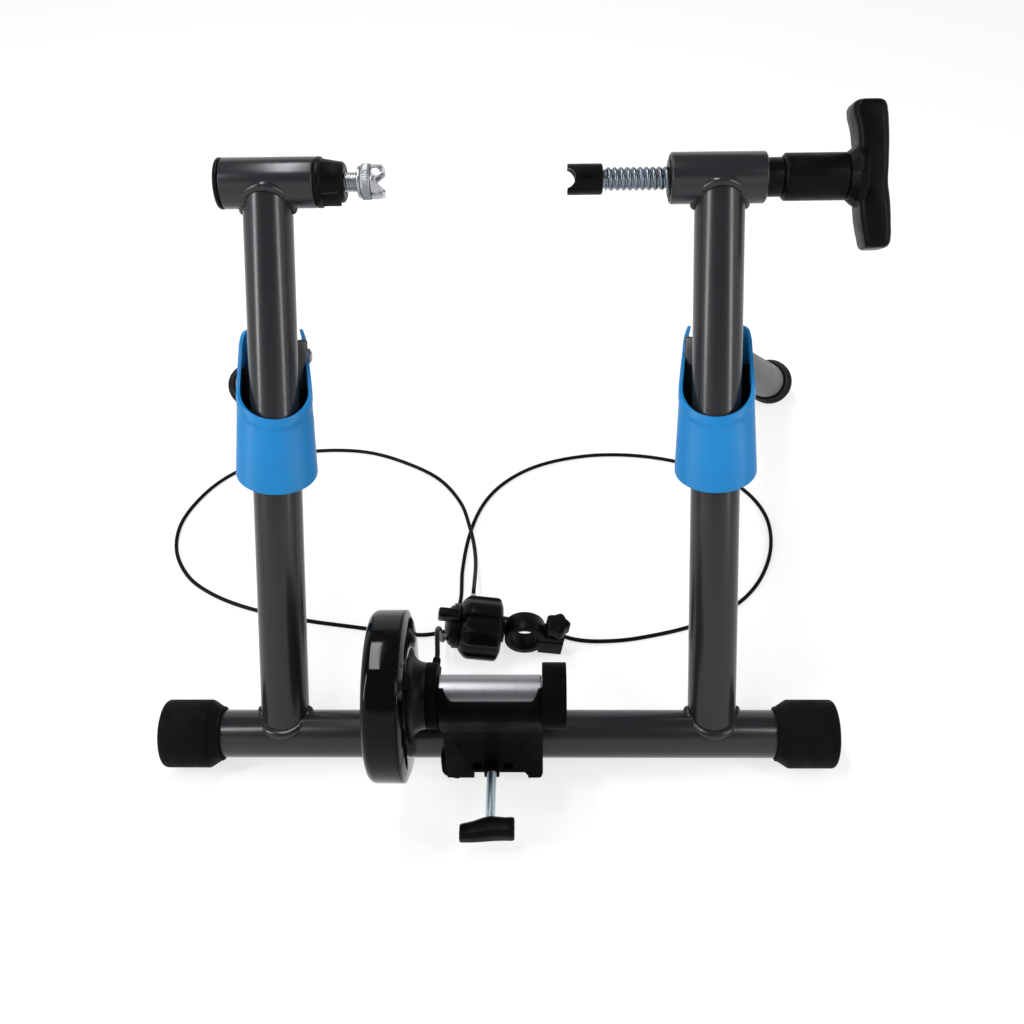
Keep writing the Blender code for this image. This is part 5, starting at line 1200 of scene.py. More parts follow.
class TRAINER_OT_left_axle(bpy.types.Operator):
    """Build the left axle holder: cap, collar, adjusting screw, nut and castellated cup"""
    bl_idname = "trainer.left_axle"
    bl_label = "Left axle holder"

    def execute(self, context):
        head = head_place(-1)
        face = -HEAD_OUTER - 0.004
        rim = -HEAD_OUTER - GAP / 2
        brim = TUBE_RADIUS + 0.0002
        plug_end = 0.010 - HEAD_OUTER
        cap = [(0.0, face + 0.0006), (0.0145, face + 0.0006), (0.0150, face), (TUBE_RADIUS - 0.0022, face),
               (TUBE_RADIUS - 0.0006, face + 0.0006), (brim, face + 0.0020), (brim, rim),
               (PLUG_RADIUS, rim), (PLUG_RADIUS, plug_end), (0.0, plug_end)]
        add_piece("left_end_cap", soften(spun(cap), 0.0004, 2, 20.0), "black_plastic", "frame", head,
                  ["left_head_cap"])

        screw = 0.008
        bore = screw + GAP
        plug_start = HEAD_INNER - 0.020
        seat = HEAD_INNER + GAP
        flange = HEAD_INNER + 0.005
        tip = flange + 0.018
        collar = [(bore, plug_start), (PLUG_RADIUS, plug_start), (PLUG_RADIUS, seat), (TUBE_RADIUS, seat),
                  (TUBE_RADIUS, flange - 0.001), (TUBE_RADIUS - 0.001, flange),
                  (TUBE_RADIUS - 0.0016, flange + 0.0004), (0.0166, flange + 0.0105),
                  (0.0158, tip - 0.0016), (0.0146, tip - 0.0006), (0.0140, tip), (bore, tip)]
        body = soften(spun(collar), 0.0004, 2, 25.0)
        key = soften(block((flange - 0.001, -0.0075, 0.0), (tip - 0.003, 0.0075, 0.0180)), 0.0009, 3)
        body = carved(body, adds=[turned(key, radians(150.0), "X")])
        body = carved(body, [rod(bore, 0.0, 0.1, SMALL_ROUND)])
        add_piece("left_collar", body, "black_plastic", "frame", head, ["left_axle_collar"])

        washer_start = 0.0735
        washer_end = washer_start + 0.002
        washer = soften(ring(0.0125, bore, washer_start, washer_end, FINE_ROUND), 0.0003)
        add_piece("left_washer", washer, "zinc", "left_adjuster", head, ["left_lock_washer"])
        start = washer_end + GAP
        end = start + 0.0082
        radius = 0.014
        profile = [(bore, start), (radius - 0.0012, start), (radius, start + 0.001),
                   (radius, start + 0.003), (radius, end - 0.003), (radius, end - 0.001),
                   (radius - 0.0012, end), (bore, end)]
        nut = knurled(spun(profile, 264), radius, sizes().knurl_depth, 66)
        add_piece("left_knurled_nut", nut, "steel", "left_adjuster", head, ["left_lock_nut"], sharp=50.0)

        cup_start = end + GAP
        cup_end = cup_start + 0.0092
        notch_floor = cup_end - 0.0062
        pitch = sizes().left_pitch
        root = screw - 0.0011
        ridge = [(root, 0.0), (screw, pitch * 0.40), (screw, pitch * 0.52), (root, pitch * 0.92),
                 (root, pitch)]
        shank = thread(ridge, pitch, HEAD_INNER - 0.018, notch_floor - 0.0004, 40)
        add_piece("left_adjusting_screw", shank, "zinc", "left_adjuster", head, ["left_adjust_screw"],
                  sharp=50.0)
        cup = [(0.0135, cup_start), (0.0135, cup_end), (0.0092, cup_end), (bore, cup_start)]
        cup = soften(spun(cup, FINE_ROUND), 0.0004)
        notch = [(notch_floor, -0.0012), (notch_floor, 0.0012), (cup_end + 0.004, 0.0088),
                 (cup_end + 0.004, -0.0088)]
        notches = [turned(soften(slab(notch, -0.02, 0.02), 0.0009, 3), pi / 2 * i, "X") for i in range(2)]
        add_piece("left_castle_cup", carved(cup, notches), "zinc", "left_cup", head, ["left_axle_cup"])
        return {"FINISHED"}


# Right axle clamp
class TRAINER_OT_right_axle(bpy.types.Operator):
    """Build the right axle clamp: nut, bush, screw, notched cup and sleeve"""
    bl_idname = "trainer.right_axle"
    bl_label = "Right axle clamp"

    def execute(self, context):
        head = head_place(1)
        screw = 0.009
        bore = screw + GAP
        nut_start, nut_end = -HEAD_INNER - 0.0012, 0.020 - HEAD_INNER
        nut = [(bore, nut_start), (PLUG_RADIUS - 0.003, nut_start),
               (PLUG_RADIUS - 0.0012, 0.0006 - HEAD_INNER), (PLUG_RADIUS, 0.0012 - HEAD_INNER),
               (PLUG_RADIUS, nut_end), (bore, nut_end)]
        add_piece("right_clamp_insert", soften(spun(nut), 0.0004), "black_plastic", "frame", head,
                  ["clamp_nut"])
        neck = 0.01515
        neck_end = HEAD_OUTER + 0.0125
        plug_start, plug_end = HEAD_OUTER - 0.020, HEAD_OUTER - GAP
        bush = [(bore, plug_start), (PLUG_RADIUS, plug_start), (PLUG_RADIUS, plug_end),
                (neck + 0.0008, plug_end), (neck, HEAD_OUTER + 0.001), (neck, neck_end), (bore, neck_end)]
        add_piece("right_bush", soften(spun(bush), 0.0004), "black_plastic", "frame", head,
                  ["right_head_bush"])

        back = -0.0928
        mouth = back - 0.0279
        radius = 0.012
        pocket = 0.0085
        floor = mouth + 0.010
        spigot = 0.006
        socket = back - 0.0075 - GAP
        profile = [(0.0, floor), (pocket, floor), (pocket, mouth), (radius, mouth), (radius, back - 0.0012),
                   (radius - 0.0012, back), (spigot + GAP, back), (spigot + GAP, socket), (0.0, socket)]
        cup = soften(spun(profile, FINE_ROUND), 0.0005)
        notch = moved(lay_back(rod(0.008, -0.02, 0.02, FINE_ROUND)), x=mouth + 0.0063 - 0.008)
        dimple = moved(lay_back(rod(0.0014, -0.0125, -0.0112, 24)), x=back - 0.010)
        add_piece("right_notched_cup", carved(cup, [notch, dimple]), "black_plastic", "right_cup", head,
                  ["right_axle_cup"])

        sleeve_start = neck_end + GAP
        sleeve_end = sleeve_start + 0.0497
        shoulder = back + GAP
        pitch = sizes().right_pitch
        depth = 0.0014
        root, flank = screw - depth, screw - depth * 0.25
        ridge = [(root, 0.0), (flank, pitch * 0.17), (screw, pitch * 0.27), (screw, pitch * 0.53),
                 (flank, pitch * 0.63), (root, pitch * 0.80), (root, pitch)]
        shank = thread(ridge, pitch, shoulder + 0.0020, sleeve_end + 0.008, 48)
        add_piece("clamp_screw_thread", shank, "grey_zinc", "clamp_handle_set", head, ["clamp_screw"],
                  sharp=50.0)
        tip, waist, end = shoulder - 0.0075, root - 0.0002, shoulder + 0.004
        core = [(0.0, tip), (spigot, tip), (spigot, shoulder), (waist, shoulder), (waist, end), (0.0, end)]
        add_piece("clamp_screw_spigot", spun(core, SMALL_ROUND), "grey_zinc", "clamp_handle_set", head)
        sleeve = 0.01835
        body = [(bore, sleeve_start), (sleeve - 0.0022, sleeve_start), (sleeve, sleeve_start + 0.0022),
                (sleeve, sleeve_end - 0.0006), (sleeve - 0.0006, sleeve_end), (bore, sleeve_end)]
        add_piece("handle_barrel", soften(spun(body), 0.0004), "black_plastic", "clamp_handle_set", head,
                  ["handle_sleeve"])
        return {"FINISHED"}


def handle_section(z, inner, outer, half, rounding):
    """A rounded rectangle across the T handle's bar."""
    near, far, edge = inner + rounding, outer - rounding, half - rounding
    corners = ((far, edge, 0.0), (near, edge, pi / 2), (near, -edge, pi), (far, -edge, 3 * pi / 2))
    points = []
    for x, y, start in corners:
        points += arc((x, y), rounding, start, start + pi / 2, 6)
    return [(x, y, z) for x, y in points]


class TRAINER_OT_handle(bpy.types.Operator):
    """Build the T handle of the right clamp"""
    bl_idname = "trainer.handle"
    bl_label = "T handle"

    def execute(self, context):
        start = 0.0983
        hub_end = start + 0.009
        core_end = hub_end + 0.004
        outer = hub_end + 0.022
        half_length = 0.0565
        # Share of the half length, shift of the outer face, depth and half width
        stations = (
            (-1.0, -0.0025, 0.0125, 0.0112), (-0.985, 0.0002, 0.0162, 0.0135),
            (-0.955, 0.0018, 0.0188, 0.0147), (-0.85, 0.0030, 0.0215, 0.0152),
            (-0.68, 0.0026, 0.0232, 0.0157), (-0.50, 0.0020, 0.0240, 0.0160),
            (-0.28, 0.0010, 0.0241, 0.0149), (-0.12, 0.0, 0.0240, 0.0138),
            (0.12, 0.0, 0.0240, 0.0138), (0.28, -0.0004, 0.0238, 0.0149),
            (0.50, -0.0010, 0.0238, 0.0160), (0.68, -0.0016, 0.0250, 0.0157),
            (0.85, -0.0025, 0.0265, 0.0152), (0.955, -0.0040, 0.0242, 0.0147),
            (0.985, -0.0052, 0.0212, 0.0135), (1.0, -0.0078, 0.0165, 0.0112),
        )
        sections = []
        for share, shift, depth, half in stations:
            face = outer + shift
            sections.append(handle_section(share * half_length, face - depth, face, half, 0.0058))
        bar = lofted(sections)
        along = [edge for edge in bar.edges if abs(edge.verts[0].co.z - edge.verts[1].co.z) > 1e-4]
        bmesh.ops.subdivide_edges(bar, edges=along, cuts=2, use_grid_fill=True, smooth=1.0)
        bmesh.ops.recalc_face_normals(bar, faces=bar.faces)
        hub = [(0.0, start), (0.0178, start), (0.0194, start + 0.0012), (0.0210, start + 0.0034),
               (0.0238, start + 0.0062), (0.0245, start + 0.0085), (0.0245, core_end), (0.0, core_end)]
        hub = soften(spun(hub, 12), 0.0010, 3, 20.0)
        socket = rod(0.009 + GAP, start - 0.01, core_end, SMALL_ROUND)
        add_piece("clamp_t_handle", carved(bar, [socket], [hub]), "black_plastic", "clamp_handle_set",
                  head_place(1), ["clamp_handle"], sharp=40.0)
        return {"FINISHED"}


# Resistance unit
def split_point(along, across):
    """A point by its distance along the clamp's split line and across it, towards the cradle."""
    c, s = cos(CLAMP_SPLIT), sin(CLAMP_SPLIT)
    return (-c * along - s * across, -s * along + c * across)


def cradle_outline():
    """Side view of the cradle: clamp half on the tube, stem, and the seat under the roller."""
    roller = (ROLLER_Y, ROLLER_Z)
    outer = ROLLER_RADIUS + 0.006
    front = [(-0.031, -0.019), (-0.031, 0.046), (-0.041, 0.063)]
    seat = arc(roller, outer, radians(205.0), radians(112.0), 30)
    back = arc(roller, outer, radians(-35.0), radians(-60.0), 8)
    rear = [(-0.004, 0.060), (0.009, 0.043)]
    ear = [split_point(CLAMP_REAR, 0.0055), split_point(CLAMP_REAR, GAP / 2)]
    foot = [split_point(CLAMP_FRONT, GAP / 2), (-0.0280, -0.0240)]
    return front + seat + back + rear + ear + foot


def clamp_cuts():
    """The gap between the clamp's two front lobes, and the slants under them."""
    low = -0.060
    left, right = CRADLE_LEFT + 0.0226, CRADLE_RIGHT - 0.0165
    gap = slab([(left, low), (right + 0.0040, low), (right + 0.0040, -0.0160), (right, -0.0084),
                (left, -0.0084)], -0.050, -0.0225)
    past_left, past_right = LOBE_LEFT - 0.01, CRADLE_RIGHT + 0.01
    left_slant = [(past_left, low), (past_left, -0.0100), (LOBE_LEFT, -0.0110),
                  (LOBE_LEFT + 0.0022, -0.0165), (LOBE_LEFT + 0.0058, -0.0200),
                  (LOBE_LEFT + 0.0110, -0.0218), (left, -0.0243), (left, low)]
    right_slant = [(right + 0.003, low), (right + 0.003, -0.0243), (CRADLE_RIGHT - 0.0045, -0.0205),
                   (CRADLE_RIGHT - 0.0012, -0.0175), (CRADLE_RIGHT, -0.0120), (past_right, -0.0110),
                   (past_right, low)]
    slants = [slab(outline, -0.060, -0.004) for outline in (left_slant, right_slant)]
    return [soften(gap, 0.0008, 2, 30.0)] + slants


def left_lobe():
    """The clamp's left lobe stands a little wider than the stem above it."""
    inside = CRADLE_LEFT + 0.010
    outline = [(LOBE_LEFT, -0.024), (LOBE_LEFT, 0.0045), (LOBE_LEFT + 0.0012, 0.0075),
               (LOBE_LEFT + 0.0042, 0.0090), (inside, 0.0090), (inside, -0.024)]
    return soften(slab(outline, -0.0300, -0.0208), 0.0008, 2, 40.0)


def at_roller(bm):
    """Move a shape that was made round the X axis to the roller's axis on the cradle."""
    return moved(bm, 0.0, ROLLER_Y, ROLLER_Z)


def cradle_casting(edge):
    """The cradle with its trough, bearing block, neck ring, lobes and windows."""
    cradle = soften(prism(cradle_outline(), CRADLE_LEFT, CRADLE_RIGHT), edge, 3, 40.0)
    trough = at_roller(rod(ROLLER_RADIUS + 0.0025, CRADLE_LEFT - 0.02, CRADLE_RIGHT + 0.02))
    lip, flare, top = ROLLER_Z + 0.0108, ROLLER_Z + 0.020, ROLLER_Z + 0.030
    opening = [(CRADLE_LEFT + 0.0020, top), (CRADLE_LEFT + 0.0030, flare), (CRADLE_LEFT + 0.0108, lip),
               (CRADLE_RIGHT - 0.0080, lip), (CRADLE_RIGHT - 0.0015, flare), (CRADLE_RIGHT - 0.0010, top)]
    opening = soften(slab(opening, ROLLER_Y - 0.040, ROLLER_Y + 0.003), 0.0015, 3, 15.0,
                     lambda place: place.z < ROLLER_Z + 0.025)
    cradle = carved(cradle, [trough, opening, rod(CLAMP_BORE, -0.12, 0.12)])
    bmesh.ops.recalc_face_normals(cradle, faces=cradle.faces)

    clear, seat, radius = AXLE_CLEARANCE, BEARING_SEAT, 0.0255
    seat_start = CRADLE_RIGHT + 0.0015
    seat_end = seat_start + 0.008 + 2 * GAP
    wall_end = BLOCK_RIGHT - 0.003
    inside = CRADLE_RIGHT - 0.0005
    profile = [(0.0, wall_end), (clear, wall_end), (clear, seat_end), (seat, seat_end), (seat, seat_start),
               (clear, seat_start), (clear, inside), (radius, inside), (radius, BLOCK_RIGHT),
               (0.0, BLOCK_RIGHT)]
    bearing_block = at_roller(soften(turned(spun(profile), radians(3.0), "X"), edge, 3))
    neck_ring = ring(NECK_RADIUS, clear, CRADLE_LEFT - 0.008, CRADLE_LEFT + GAP)
    neck_ring = at_roller(soften(turned(neck_ring, radians(3.0), "X"), 0.0005))
    half = 0.00625
    boss = block((LOCK_BOLT_X - half, -0.039, -half), (LOCK_BOLT_X + half, -0.030, half))
    cradle = carved(cradle, adds=[bearing_block, neck_ring, soften(boss, edge, 2), left_lobe()])

    windows = [block((x - 0.004, -0.041, -0.0060), (x + 0.004, -0.028, 0.0030)) for x in (-0.0160, 0.0093)]
    points = [moved(lay_back(rod(0.0011, -0.0318, -0.0300, 16)), x=x, z=0.027)
              for x in (CRADLE_LEFT + 0.0120, CRADLE_RIGHT - 0.0175)]
    bolt_hole = moved(lay_back(rod(LOCK_BOLT_RADIUS + GAP, -0.06, -0.01, SMALL_ROUND)), x=LOCK_BOLT_X)
    return carved(cradle, windows + clamp_cuts() + [bolt_hole], points)


def clamp_cap(edge):
    """The clamp's lower half, split from the cradle at a slant."""
    reach = asin(CLAMP_FLANGE / CLAMP_SHELL)
    outline = [(CLAMP_FRONT, -GAP / 2), (CLAMP_FRONT, -CLAMP_FLANGE)]
    outline += arc((0.0, 0.0), CLAMP_SHELL, -reach, reach - pi, 40)
    outline += [(CLAMP_REAR, -CLAMP_FLANGE), (CLAMP_REAR, -GAP / 2)]
    cap = prism([split_point(*point) for point in outline], CRADLE_LEFT, CRADLE_RIGHT)
    return carved(soften(cap, edge, 3, 40.0), [rod(CLAMP_BORE, -0.12, 0.12)] + clamp_cuts())


class TRAINER_OT_cradle(bpy.types.Operator):
    """Build the cradle that carries the roller, and the clamp cap with its screws"""
    bl_idname = "trainer.cradle"
    bl_label = "Roller cradle and clamp"

    def execute(self, context):
        edge = sizes().plastic_edge
        add_piece("cradle_casting", cradle_casting(edge), "matt_black", "unit", BASE, ["roller_cradle"])
        add_piece("clamp_shell", clamp_cap(edge), "matt_black", "unit", BASE, ["clamp_cap"])
        low = -0.0048
        head = low - 0.0016
        profile = [(0.0, head), (0.0020, head), (0.0028, low - 0.0009), (0.0028, low), (0.0020, low),
                   (0.0020, 0.0045), (0.0, 0.0045)]
        for along, row in ((0.0290, "front"), (-0.0312, "rear")):
            for x, end in ((CRADLE_LEFT + 0.011, "left"), (CRADLE_RIGHT - 0.011, "right")):
                y, z = split_point(along, 0.0)
                place = BASE @ Matrix.Translation((x, y, z)) @ Matrix.Rotation(CLAMP_SPLIT, 4, "X")
                screw = stand_up(spun(profile, SMALL_ROUND))
                socket = plate(hexagon(0.0022), low - 0.003, low - 0.0008)
                add_piece("clamp_screw_%s_%s" % (row, end), carved(screw, [socket]), "zinc", "unit", place,
                          ["cap_screw_%s_%s" % (row, end)])
        return {"FINISHED"}


def wing_form():
    """One faceted form from wing to wing, by (x, near y, far y, low z, high z) sections."""
    sections = []
    for x, near, far, low, high in (
            (-0.0240, -0.0868, -0.0990, -0.0062, 0.0040), (-0.0225, -0.0860, -0.0996, -0.0070, 0.0048),
            (-0.0130, -0.0838, -0.0995, -0.0072, 0.0052), (-0.0060, -0.0815, -0.0990, -0.0076, 0.0066),
            (0.0, -0.0805, -0.0985, -0.0078, 0.0078), (0.0060, -0.0812, -0.0985, -0.0070, 0.0080),
            (0.0115, -0.0822, -0.0990, -0.0056, 0.0086), (0.0180, -0.0825, -0.0996, -0.0046, 0.0094),
            (0.0196, -0.0835, -0.0988, -0.0040, 0.0088)):
        cut_y, cut_z = (near - far) * 0.22, (high - low) * 0.24
        sections.append([(x, near, low + cut_z), (x, near, high - cut_z), (x, near - cut_y, high),
                         (x, far + cut_y, high), (x, far, high - cut_z), (x, far, low + cut_z),
                         (x, far + cut_y, low), (x, near - cut_y, low)])
    bm = lofted(sections)
    dent = moved(turned(rod(0.0032, -0.03, 0.03, SMALL_ROUND), pi / 2, "Y"), x=0.0222, y=-0.0905)
    return soften(carved(bm, [dent]), 0.0008, 2, 30.0)


class TRAINER_OT_lock_bolt(bpy.types.Operator):
    """Build the lock bolt, its pad and the wing knob"""
    bl_idname = "trainer.lock_bolt"
    bl_label = "Lock bolt and wing knob"

    def execute(self, context):
        place = BASE @ Matrix.Translation((LOCK_BOLT_X, 0.0, 0.0))
        tip = -(TUBE_RADIUS + GAP)
        pad = lay_back(soften(rod(0.0035, tip - LOCK_PAD_LENGTH, tip, SMALL_ROUND), 0.0005))
        add_piece("lock_bolt_pad", pad, "black_plastic", "lock_pad_body", place, ["lock_pad"])
        start = tip - LOCK_PAD_LENGTH - GAP
        end = -0.0935
        pitch = sizes().bolt_pitch
        crest = LOCK_BOLT_RADIUS
        root = crest - 0.00032
        ridge = [(root, 0.0), (crest, pitch * 0.40), (crest, pitch * 0.58), (root, pitch * 0.98),
                 (root, pitch)]
        bolt = lay_back(thread(ridge, pitch, end, start, 32))
        add_piece("lock_bolt_shank", bolt, "blue_zinc", "lock_bolt_set", place, ["lock_bolt"], sharp=50.0)
        socket = lay_back(rod(crest, end - GAP, -0.070, SMALL_ROUND))
        knob = carved(wing_form(), [socket])
        add_piece("wing_knob", knob, "black_plastic", "lock_bolt_set", place, ["lock_knob"])
        return {"FINISHED"}


class TRAINER_OT_housing(bpy.types.Operator):
    """Build the magnet housing, its cover and the trumpet neck"""
    bl_idname = "trainer.housing"
    bl_label = "Magnet housing and neck"

    def execute(self, context):
        radius = HOUSING_RADIUS
        inner = radius - HOUSING_WALL
        rounding = 0.0065
        dimple, floor = HOUSING_LEFT + 0.0010, HOUSING_LEFT + HOUSING_WALL
        shell = [(0.0, dimple), (0.020, dimple), (0.0215, HOUSING_LEFT)]
        shell += arc((radius - rounding, HOUSING_LEFT + rounding), rounding, -pi / 2, 0.0, 12)
        shell += [(radius, HOUSING_RIGHT - 0.0004), (radius - 0.0004, HOUSING_RIGHT),
                  (inner, HOUSING_RIGHT), (inner, floor), (0.0, floor)]
        shell = soften(spun(shell, HOUSING_ROUND), 0.0003, 2, 30.0)
        add_piece("housing_shell", shell, "gloss_black", "unit", ROLLER, ["magnet_housing"])
        hole = 0.014
        collar = hole + 0.0035
        bevel = 0.0065
        face = COVER_RIGHT - HOUSING_WALL
        end = face - 0.012
        rim = HOUSING_RIGHT + GAP
        cover = [(hole, COVER_RIGHT), (radius - bevel - 0.002, COVER_RIGHT),
                 (radius - bevel, COVER_RIGHT - 0.0004), (radius - 0.0006, rim + 0.0014),
                 (radius, rim + 0.0006), (radius, rim), (inner - 0.003, rim), (inner - bevel, face),
                 (collar, face), (collar, end), (hole, end)]
        cover = soften(spun(cover, HOUSING_ROUND), 0.0004, 2, 25.0)
        add_piece("housing_lid", cover, "gloss_black", "unit", ROLLER, ["housing_cover"])

        flare = 0.0115
        trumpet = arc((NECK_RADIUS + flare, NECK_LEFT + flare), flare, -pi, -pi / 2, 20)
        bearing_right = NECK_RIGHT - 0.003
        clear, seat = AXLE_CLEARANCE, BEARING_SEAT
        profile = [(clear, NECK_RIGHT), (NECK_RADIUS, NECK_RIGHT)] + trumpet
        profile += [(seat, NECK_LEFT), (seat, bearing_right), (clear, bearing_right)]
        add_piece("trumpet_neck", spun(profile, HOUSING_ROUND), "black_plastic", "unit", ROLLER,
                  ["neck_housing"])
        return {"FINISHED"}


class TRAINER_OT_roller(bpy.types.Operator):
    """Build the roller and its axle"""
    bl_idname = "trainer.roller"
    bl_label = "Roller"

    def execute(self, context):
        bore = PIN_RADIUS + GAP / 2
        edge, depth = 0.0009, 0.0008
        radius = ROLLER_RADIUS
        body = [(radius - edge, ROLLER_LEFT), (radius, ROLLER_LEFT + edge), (radius, ROLLER_RIGHT - edge),
                (radius - edge, ROLLER_RIGHT), (radius - 0.003, ROLLER_RIGHT),
                (radius - 0.0035, ROLLER_RIGHT - depth), (bore, ROLLER_RIGHT - depth),
                (bore, ROLLER_LEFT + depth), (radius - 0.0035, ROLLER_LEFT + depth),
                (radius - 0.003, ROLLER_LEFT)]
        add_piece("roller_drum", spun(body, FINE_ROUND), "roller_silver", "roller_set", ROLLER, ["roller"])
        return {"FINISHED"}


class TRAINER_OT_gland(bpy.types.Operator):
    """Build the gland and the ferrule that hold the cable's two ends"""
    bl_idname = "trainer.gland"
    bl_label = "Cable gland and ferrule"

    def execute(self, context):
        start = NECK_RADIUS + GAP
        wide, tip = 0.0045, 0.00325
        profile = [(0.0, start), (wide, start), (wide, start + 0.005), (tip + 0.0004, start + 0.0062)]
        for i in range(5):
            groove = start + 0.0072 + i * 0.0017
            profile += [(tip, groove), (tip - 0.0005, groove + 0.0003), (tip - 0.0005, groove + 0.0009),
                        (tip - 0.0001, groove + 0.0012)]
        profile += [(tip - 0.0004, start + 0.016), (0.0, start + 0.016)]
        turn = Matrix.Rotation(pi / 2, 4, "Z") @ Matrix.Rotation(-GLAND_ANGLE, 4, "Y")
        place = Matrix.Translation(GLAND_PLACE) @ turn
        add_piece("gland_boot", spun(profile, SMALL_ROUND), "black_plastic", "unit", place, ["cable_gland"])

        start = FERRULE_START
        tip = 0.004
        ferrule = [(0.0, start), (tip, start), (tip, start + 0.006), (tip - 0.0012, start + 0.0075),
                   (tip - 0.0012, start + 0.012), (0.0, start + 0.012)]
        body = lay_back(soften(spun(ferrule, SMALL_ROUND), 0.0003))
        add_piece("ferrule_tip", body, "zinc", "frame", SHIFTER @ Matrix.Translation((FERRULE_X, 0.0, 0.0)),
                  ["cable_ferrule"])
        return {"FINISHED"}


# Remote shifter
def barrel_sections():
    """Ribbed sections of the shifter's barrel, with the ribs fading out at its ends."""
    core = BARREL_RADIUS - BARREL_RIB
    count = BARREL_RIBS * 28
    # Share of the barrel's length, how far the core draws in, and how much of the ribs shows
    stations = ((0.0, -0.0035, 0.0), (0.02, -0.0018, 0.0), (0.05, -0.0004, 0.55), (0.09, 0.0, 0.90),
                (0.14, 0.0, 1.0), (0.45, 0.0, 1.0), (0.76, 0.0, 1.0), (0.82, -0.0002, 0.85),
                (0.88, -0.0008, 0.50), (0.94, -0.0020, 0.18), (1.0, -0.0045, 0.0))
    sections = []
    for share, inset, rib in stations:
        x = -BARREL_START - BARREL_LENGTH * share
        points = []
        for i in range(count):
            angle = 2 * pi * i / count
            wave = -cos(BARREL_RIBS * angle)
            rise = 1.0 / (1.0 + exp(-9.0 * (wave + 0.10)))
            radius = core + inset + BARREL_RIB * rise * rib
            points.append((x, radius * cos(angle), radius * sin(angle)))
        sections.append(points)
    return sections


class TRAINER_OT_shifter(bpy.types.Operator):
    """Build the shifter's ribbed barrel, lever and end cap"""
    bl_idname = "trainer.shifter"
    bl_label = "Shifter barrel and lever"

    def execute(self, context):
        half = 0.008
        stem = soften(block((-0.0245, -half, -half), (-BAND_RADIUS - 0.0005, half, half)), 0.0008)
        body = carved(lofted(barrel_sections()), adds=[stem])
        add_piece("shifter_barrel", body, "black_plastic", "frame", SHIFTER, ["shifter_body"], sharp=45.0)

        collar = soften(ring(LEVER_RADIUS, LEVER_POST + GAP, -LEVER_END, -LEVER_START), 0.0008, 3)
        low = 0.0193
        paddle = block((-LEVER_START - 0.021, -0.0045, low), (-LEVER_START - 0.001, 0.0045, low + 0.015))
        paddle = turned(soften(paddle, 0.0022, 4), radians(20.0), "X")
        add_piece("shift_lever", carved(collar, adds=[paddle]), "black_plastic", "lever", SHIFTER,
                  ["shifter_lever"])

        cap_start = LEVER_END + GAP
        dent = -cap_start - 0.0062
        radius = 0.0185
        dome = [(radius * cos(a), -cap_start - 0.007 * sin(a)) for a in [1.25 * i / 12 for i in range(13)]]
        cap = [(0.0, -LEVER_START), (LEVER_POST, -LEVER_START), (LEVER_POST, -cap_start)] + dome
        cap += [(0.0042, -cap_start - 0.0069), (0.0038, dent), (0.0, dent)]
        add_piece("shifter_dome", spun(cap, FINE_ROUND), "black_plastic", "frame", SHIFTER,
                  ["shifter_end_cap"])
        return {"FINISHED"}


class TRAINER_OT_band(bpy.types.Operator):
    """Build the handlebar band with its bolt, washer and star knob"""
    bl_idname = "trainer.band"
    bl_label = "Handlebar band and star knob"

    def execute(self, context):
        top = 0.006
        hole = 0.0028
        band = lay_back(soften(ring(BAND_RADIUS, BAND_BORE - 0.002, -0.0095, 0.0095), 0.0009, 2))
        ear = soften(block((BAND_BORE + 0.001, -0.009, -0.0165), (0.036, 0.009, top)), 0.0012, 3)
        bore = lay_back(rod(BAND_BORE, -0.02, 0.02))
        slit = block((0.0, -0.02, -0.001), (0.046, 0.02, 0.001))
        bolt_hole = moved(stand_up(rod(hole, -0.03, 0.03, SMALL_ROUND)), x=BAND_BOLT_X)
        body = carved(band, [bore, slit, bolt_hole], [ear])
        add_piece("handlebar_loop", body, "black_plastic", "frame", SHIFTER, ["shifter_band"])

        place = SHIFTER @ Matrix.Translation((BAND_BOLT_X, 0.0, 0.0))
        washer_top = top + GAP + 0.001
        washer = stand_up(soften(ring(0.006, hole, top + GAP, washer_top, SMALL_ROUND), 0.0002))
        add_piece("star_knob_washer", washer, "zinc", "knob_washer_body", place, ["knob_washer"])
        low = washer_top + GAP
        shank = stand_up(rod(0.0025, -0.0155, low + 0.006, SMALL_ROUND))
        add_piece("star_knob_bolt", shank, "zinc", "shifter_knob_set", place, ["shifter_clamp_bolt"])
        points = 5
        count = points * 16
        star = []
        for i in range(count):
            angle = 2 * pi * i / count
            reach = 0.0115 * (0.90 + 0.10 * cos(points * angle))
            star.append((reach * cos(angle), reach * sin(angle)))
        knob = soften(plate(star, low, low + 0.012), 0.0016, 3, 50.0)
        socket = stand_up(rod(hole, low - 0.002, low + 0.0063, SMALL_ROUND))
        add_piece("star_knob", carved(knob, [socket]), "black_plastic", "shifter_knob_set", place,
                  ["shifter_clamp_knob"])
        return {"FINISHED"}


class TRAINER_OT_inner_pieces(bpy.types.Operator):
    """Give the pieces inside the housing and the bearings their finishes"""
    bl_idname = "trainer.inner_pieces"
    bl_label = "Inner pieces"

    def execute(self, context):
        inside = {"left_bearing": "steel", "right_bearing": "steel", "roller_axle": "steel",
                  "rotor_disc": "roller_silver", "magnet_carrier": "black_plastic"}
        for node, finish in inside.items():
            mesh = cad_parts[node].data
            mesh.materials.clear()
            mesh.materials.append(material(finish))
        return {"FINISHED"}


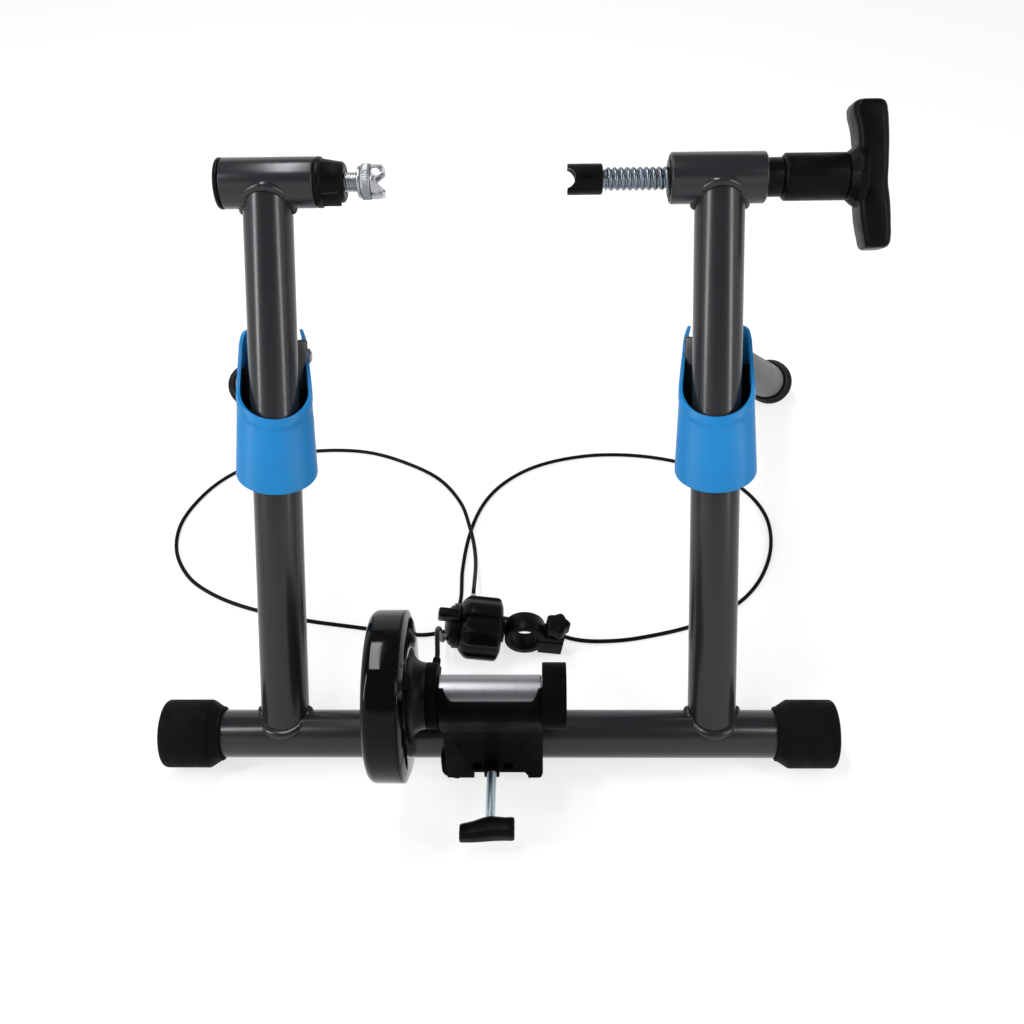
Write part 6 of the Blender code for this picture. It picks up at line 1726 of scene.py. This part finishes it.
STEPS = (
    TRAINER_OT_camera, TRAINER_OT_cable, TRAINER_OT_stage, TRAINER_OT_base, TRAINER_OT_uprights,
    TRAINER_OT_hinges, TRAINER_OT_shrouds, TRAINER_OT_legs, TRAINER_OT_left_axle, TRAINER_OT_right_axle,
    TRAINER_OT_handle, TRAINER_OT_cradle, TRAINER_OT_lock_bolt, TRAINER_OT_housing, TRAINER_OT_roller,
    TRAINER_OT_gland, TRAINER_OT_shifter, TRAINER_OT_band, TRAINER_OT_inner_pieces,
)


class TRAINER_PT_build(bpy.types.Panel):
    """The build steps, sizes and colours of the trainer"""
    bl_idname = "TRAINER_PT_build"
    bl_label = "Folding Bike Trainer"
    bl_space_type = "VIEW_3D"
    bl_region_type = "UI"
    bl_category = "Trainer"

    def draw(self, context):
        for step in STEPS:
            self.layout.operator(step.bl_idname)
        for group in (context.scene.trainer_sizes, context.scene.trainer_colours):
            box = self.layout.box()
            for name in group.__annotations__:
                box.prop(group, name)


CLASSES = (TrainerColours, TrainerSizes) + STEPS + (TRAINER_PT_build,)


def register():
    for item in CLASSES:
        bpy.utils.register_class(item)
    bpy.types.Scene.trainer_colours = PointerProperty(type=TrainerColours)
    bpy.types.Scene.trainer_sizes = PointerProperty(type=TrainerSizes)


def unregister():
    del bpy.types.Scene.trainer_sizes
    del bpy.types.Scene.trainer_colours
    for item in reversed(CLASSES):
        bpy.utils.unregister_class(item)


def main():
    register()
    bpy.ops.trainer.camera()
    bpy.ops.trainer.cable()
    bpy.ops.trainer.stage()
    bpy.ops.trainer.base()
    bpy.ops.trainer.uprights()
    bpy.ops.trainer.hinges()
    bpy.ops.trainer.shrouds()
    bpy.ops.trainer.legs()
    bpy.ops.trainer.left_axle()
    bpy.ops.trainer.right_axle()
    bpy.ops.trainer.handle()
    bpy.ops.trainer.cradle()
    bpy.ops.trainer.lock_bolt()
    bpy.ops.trainer.housing()
    bpy.ops.trainer.roller()
    bpy.ops.trainer.gland()
    bpy.ops.trainer.shifter()
    bpy.ops.trainer.band()
    bpy.ops.trainer.inner_pieces()


if __name__ == "__main__":
    main()
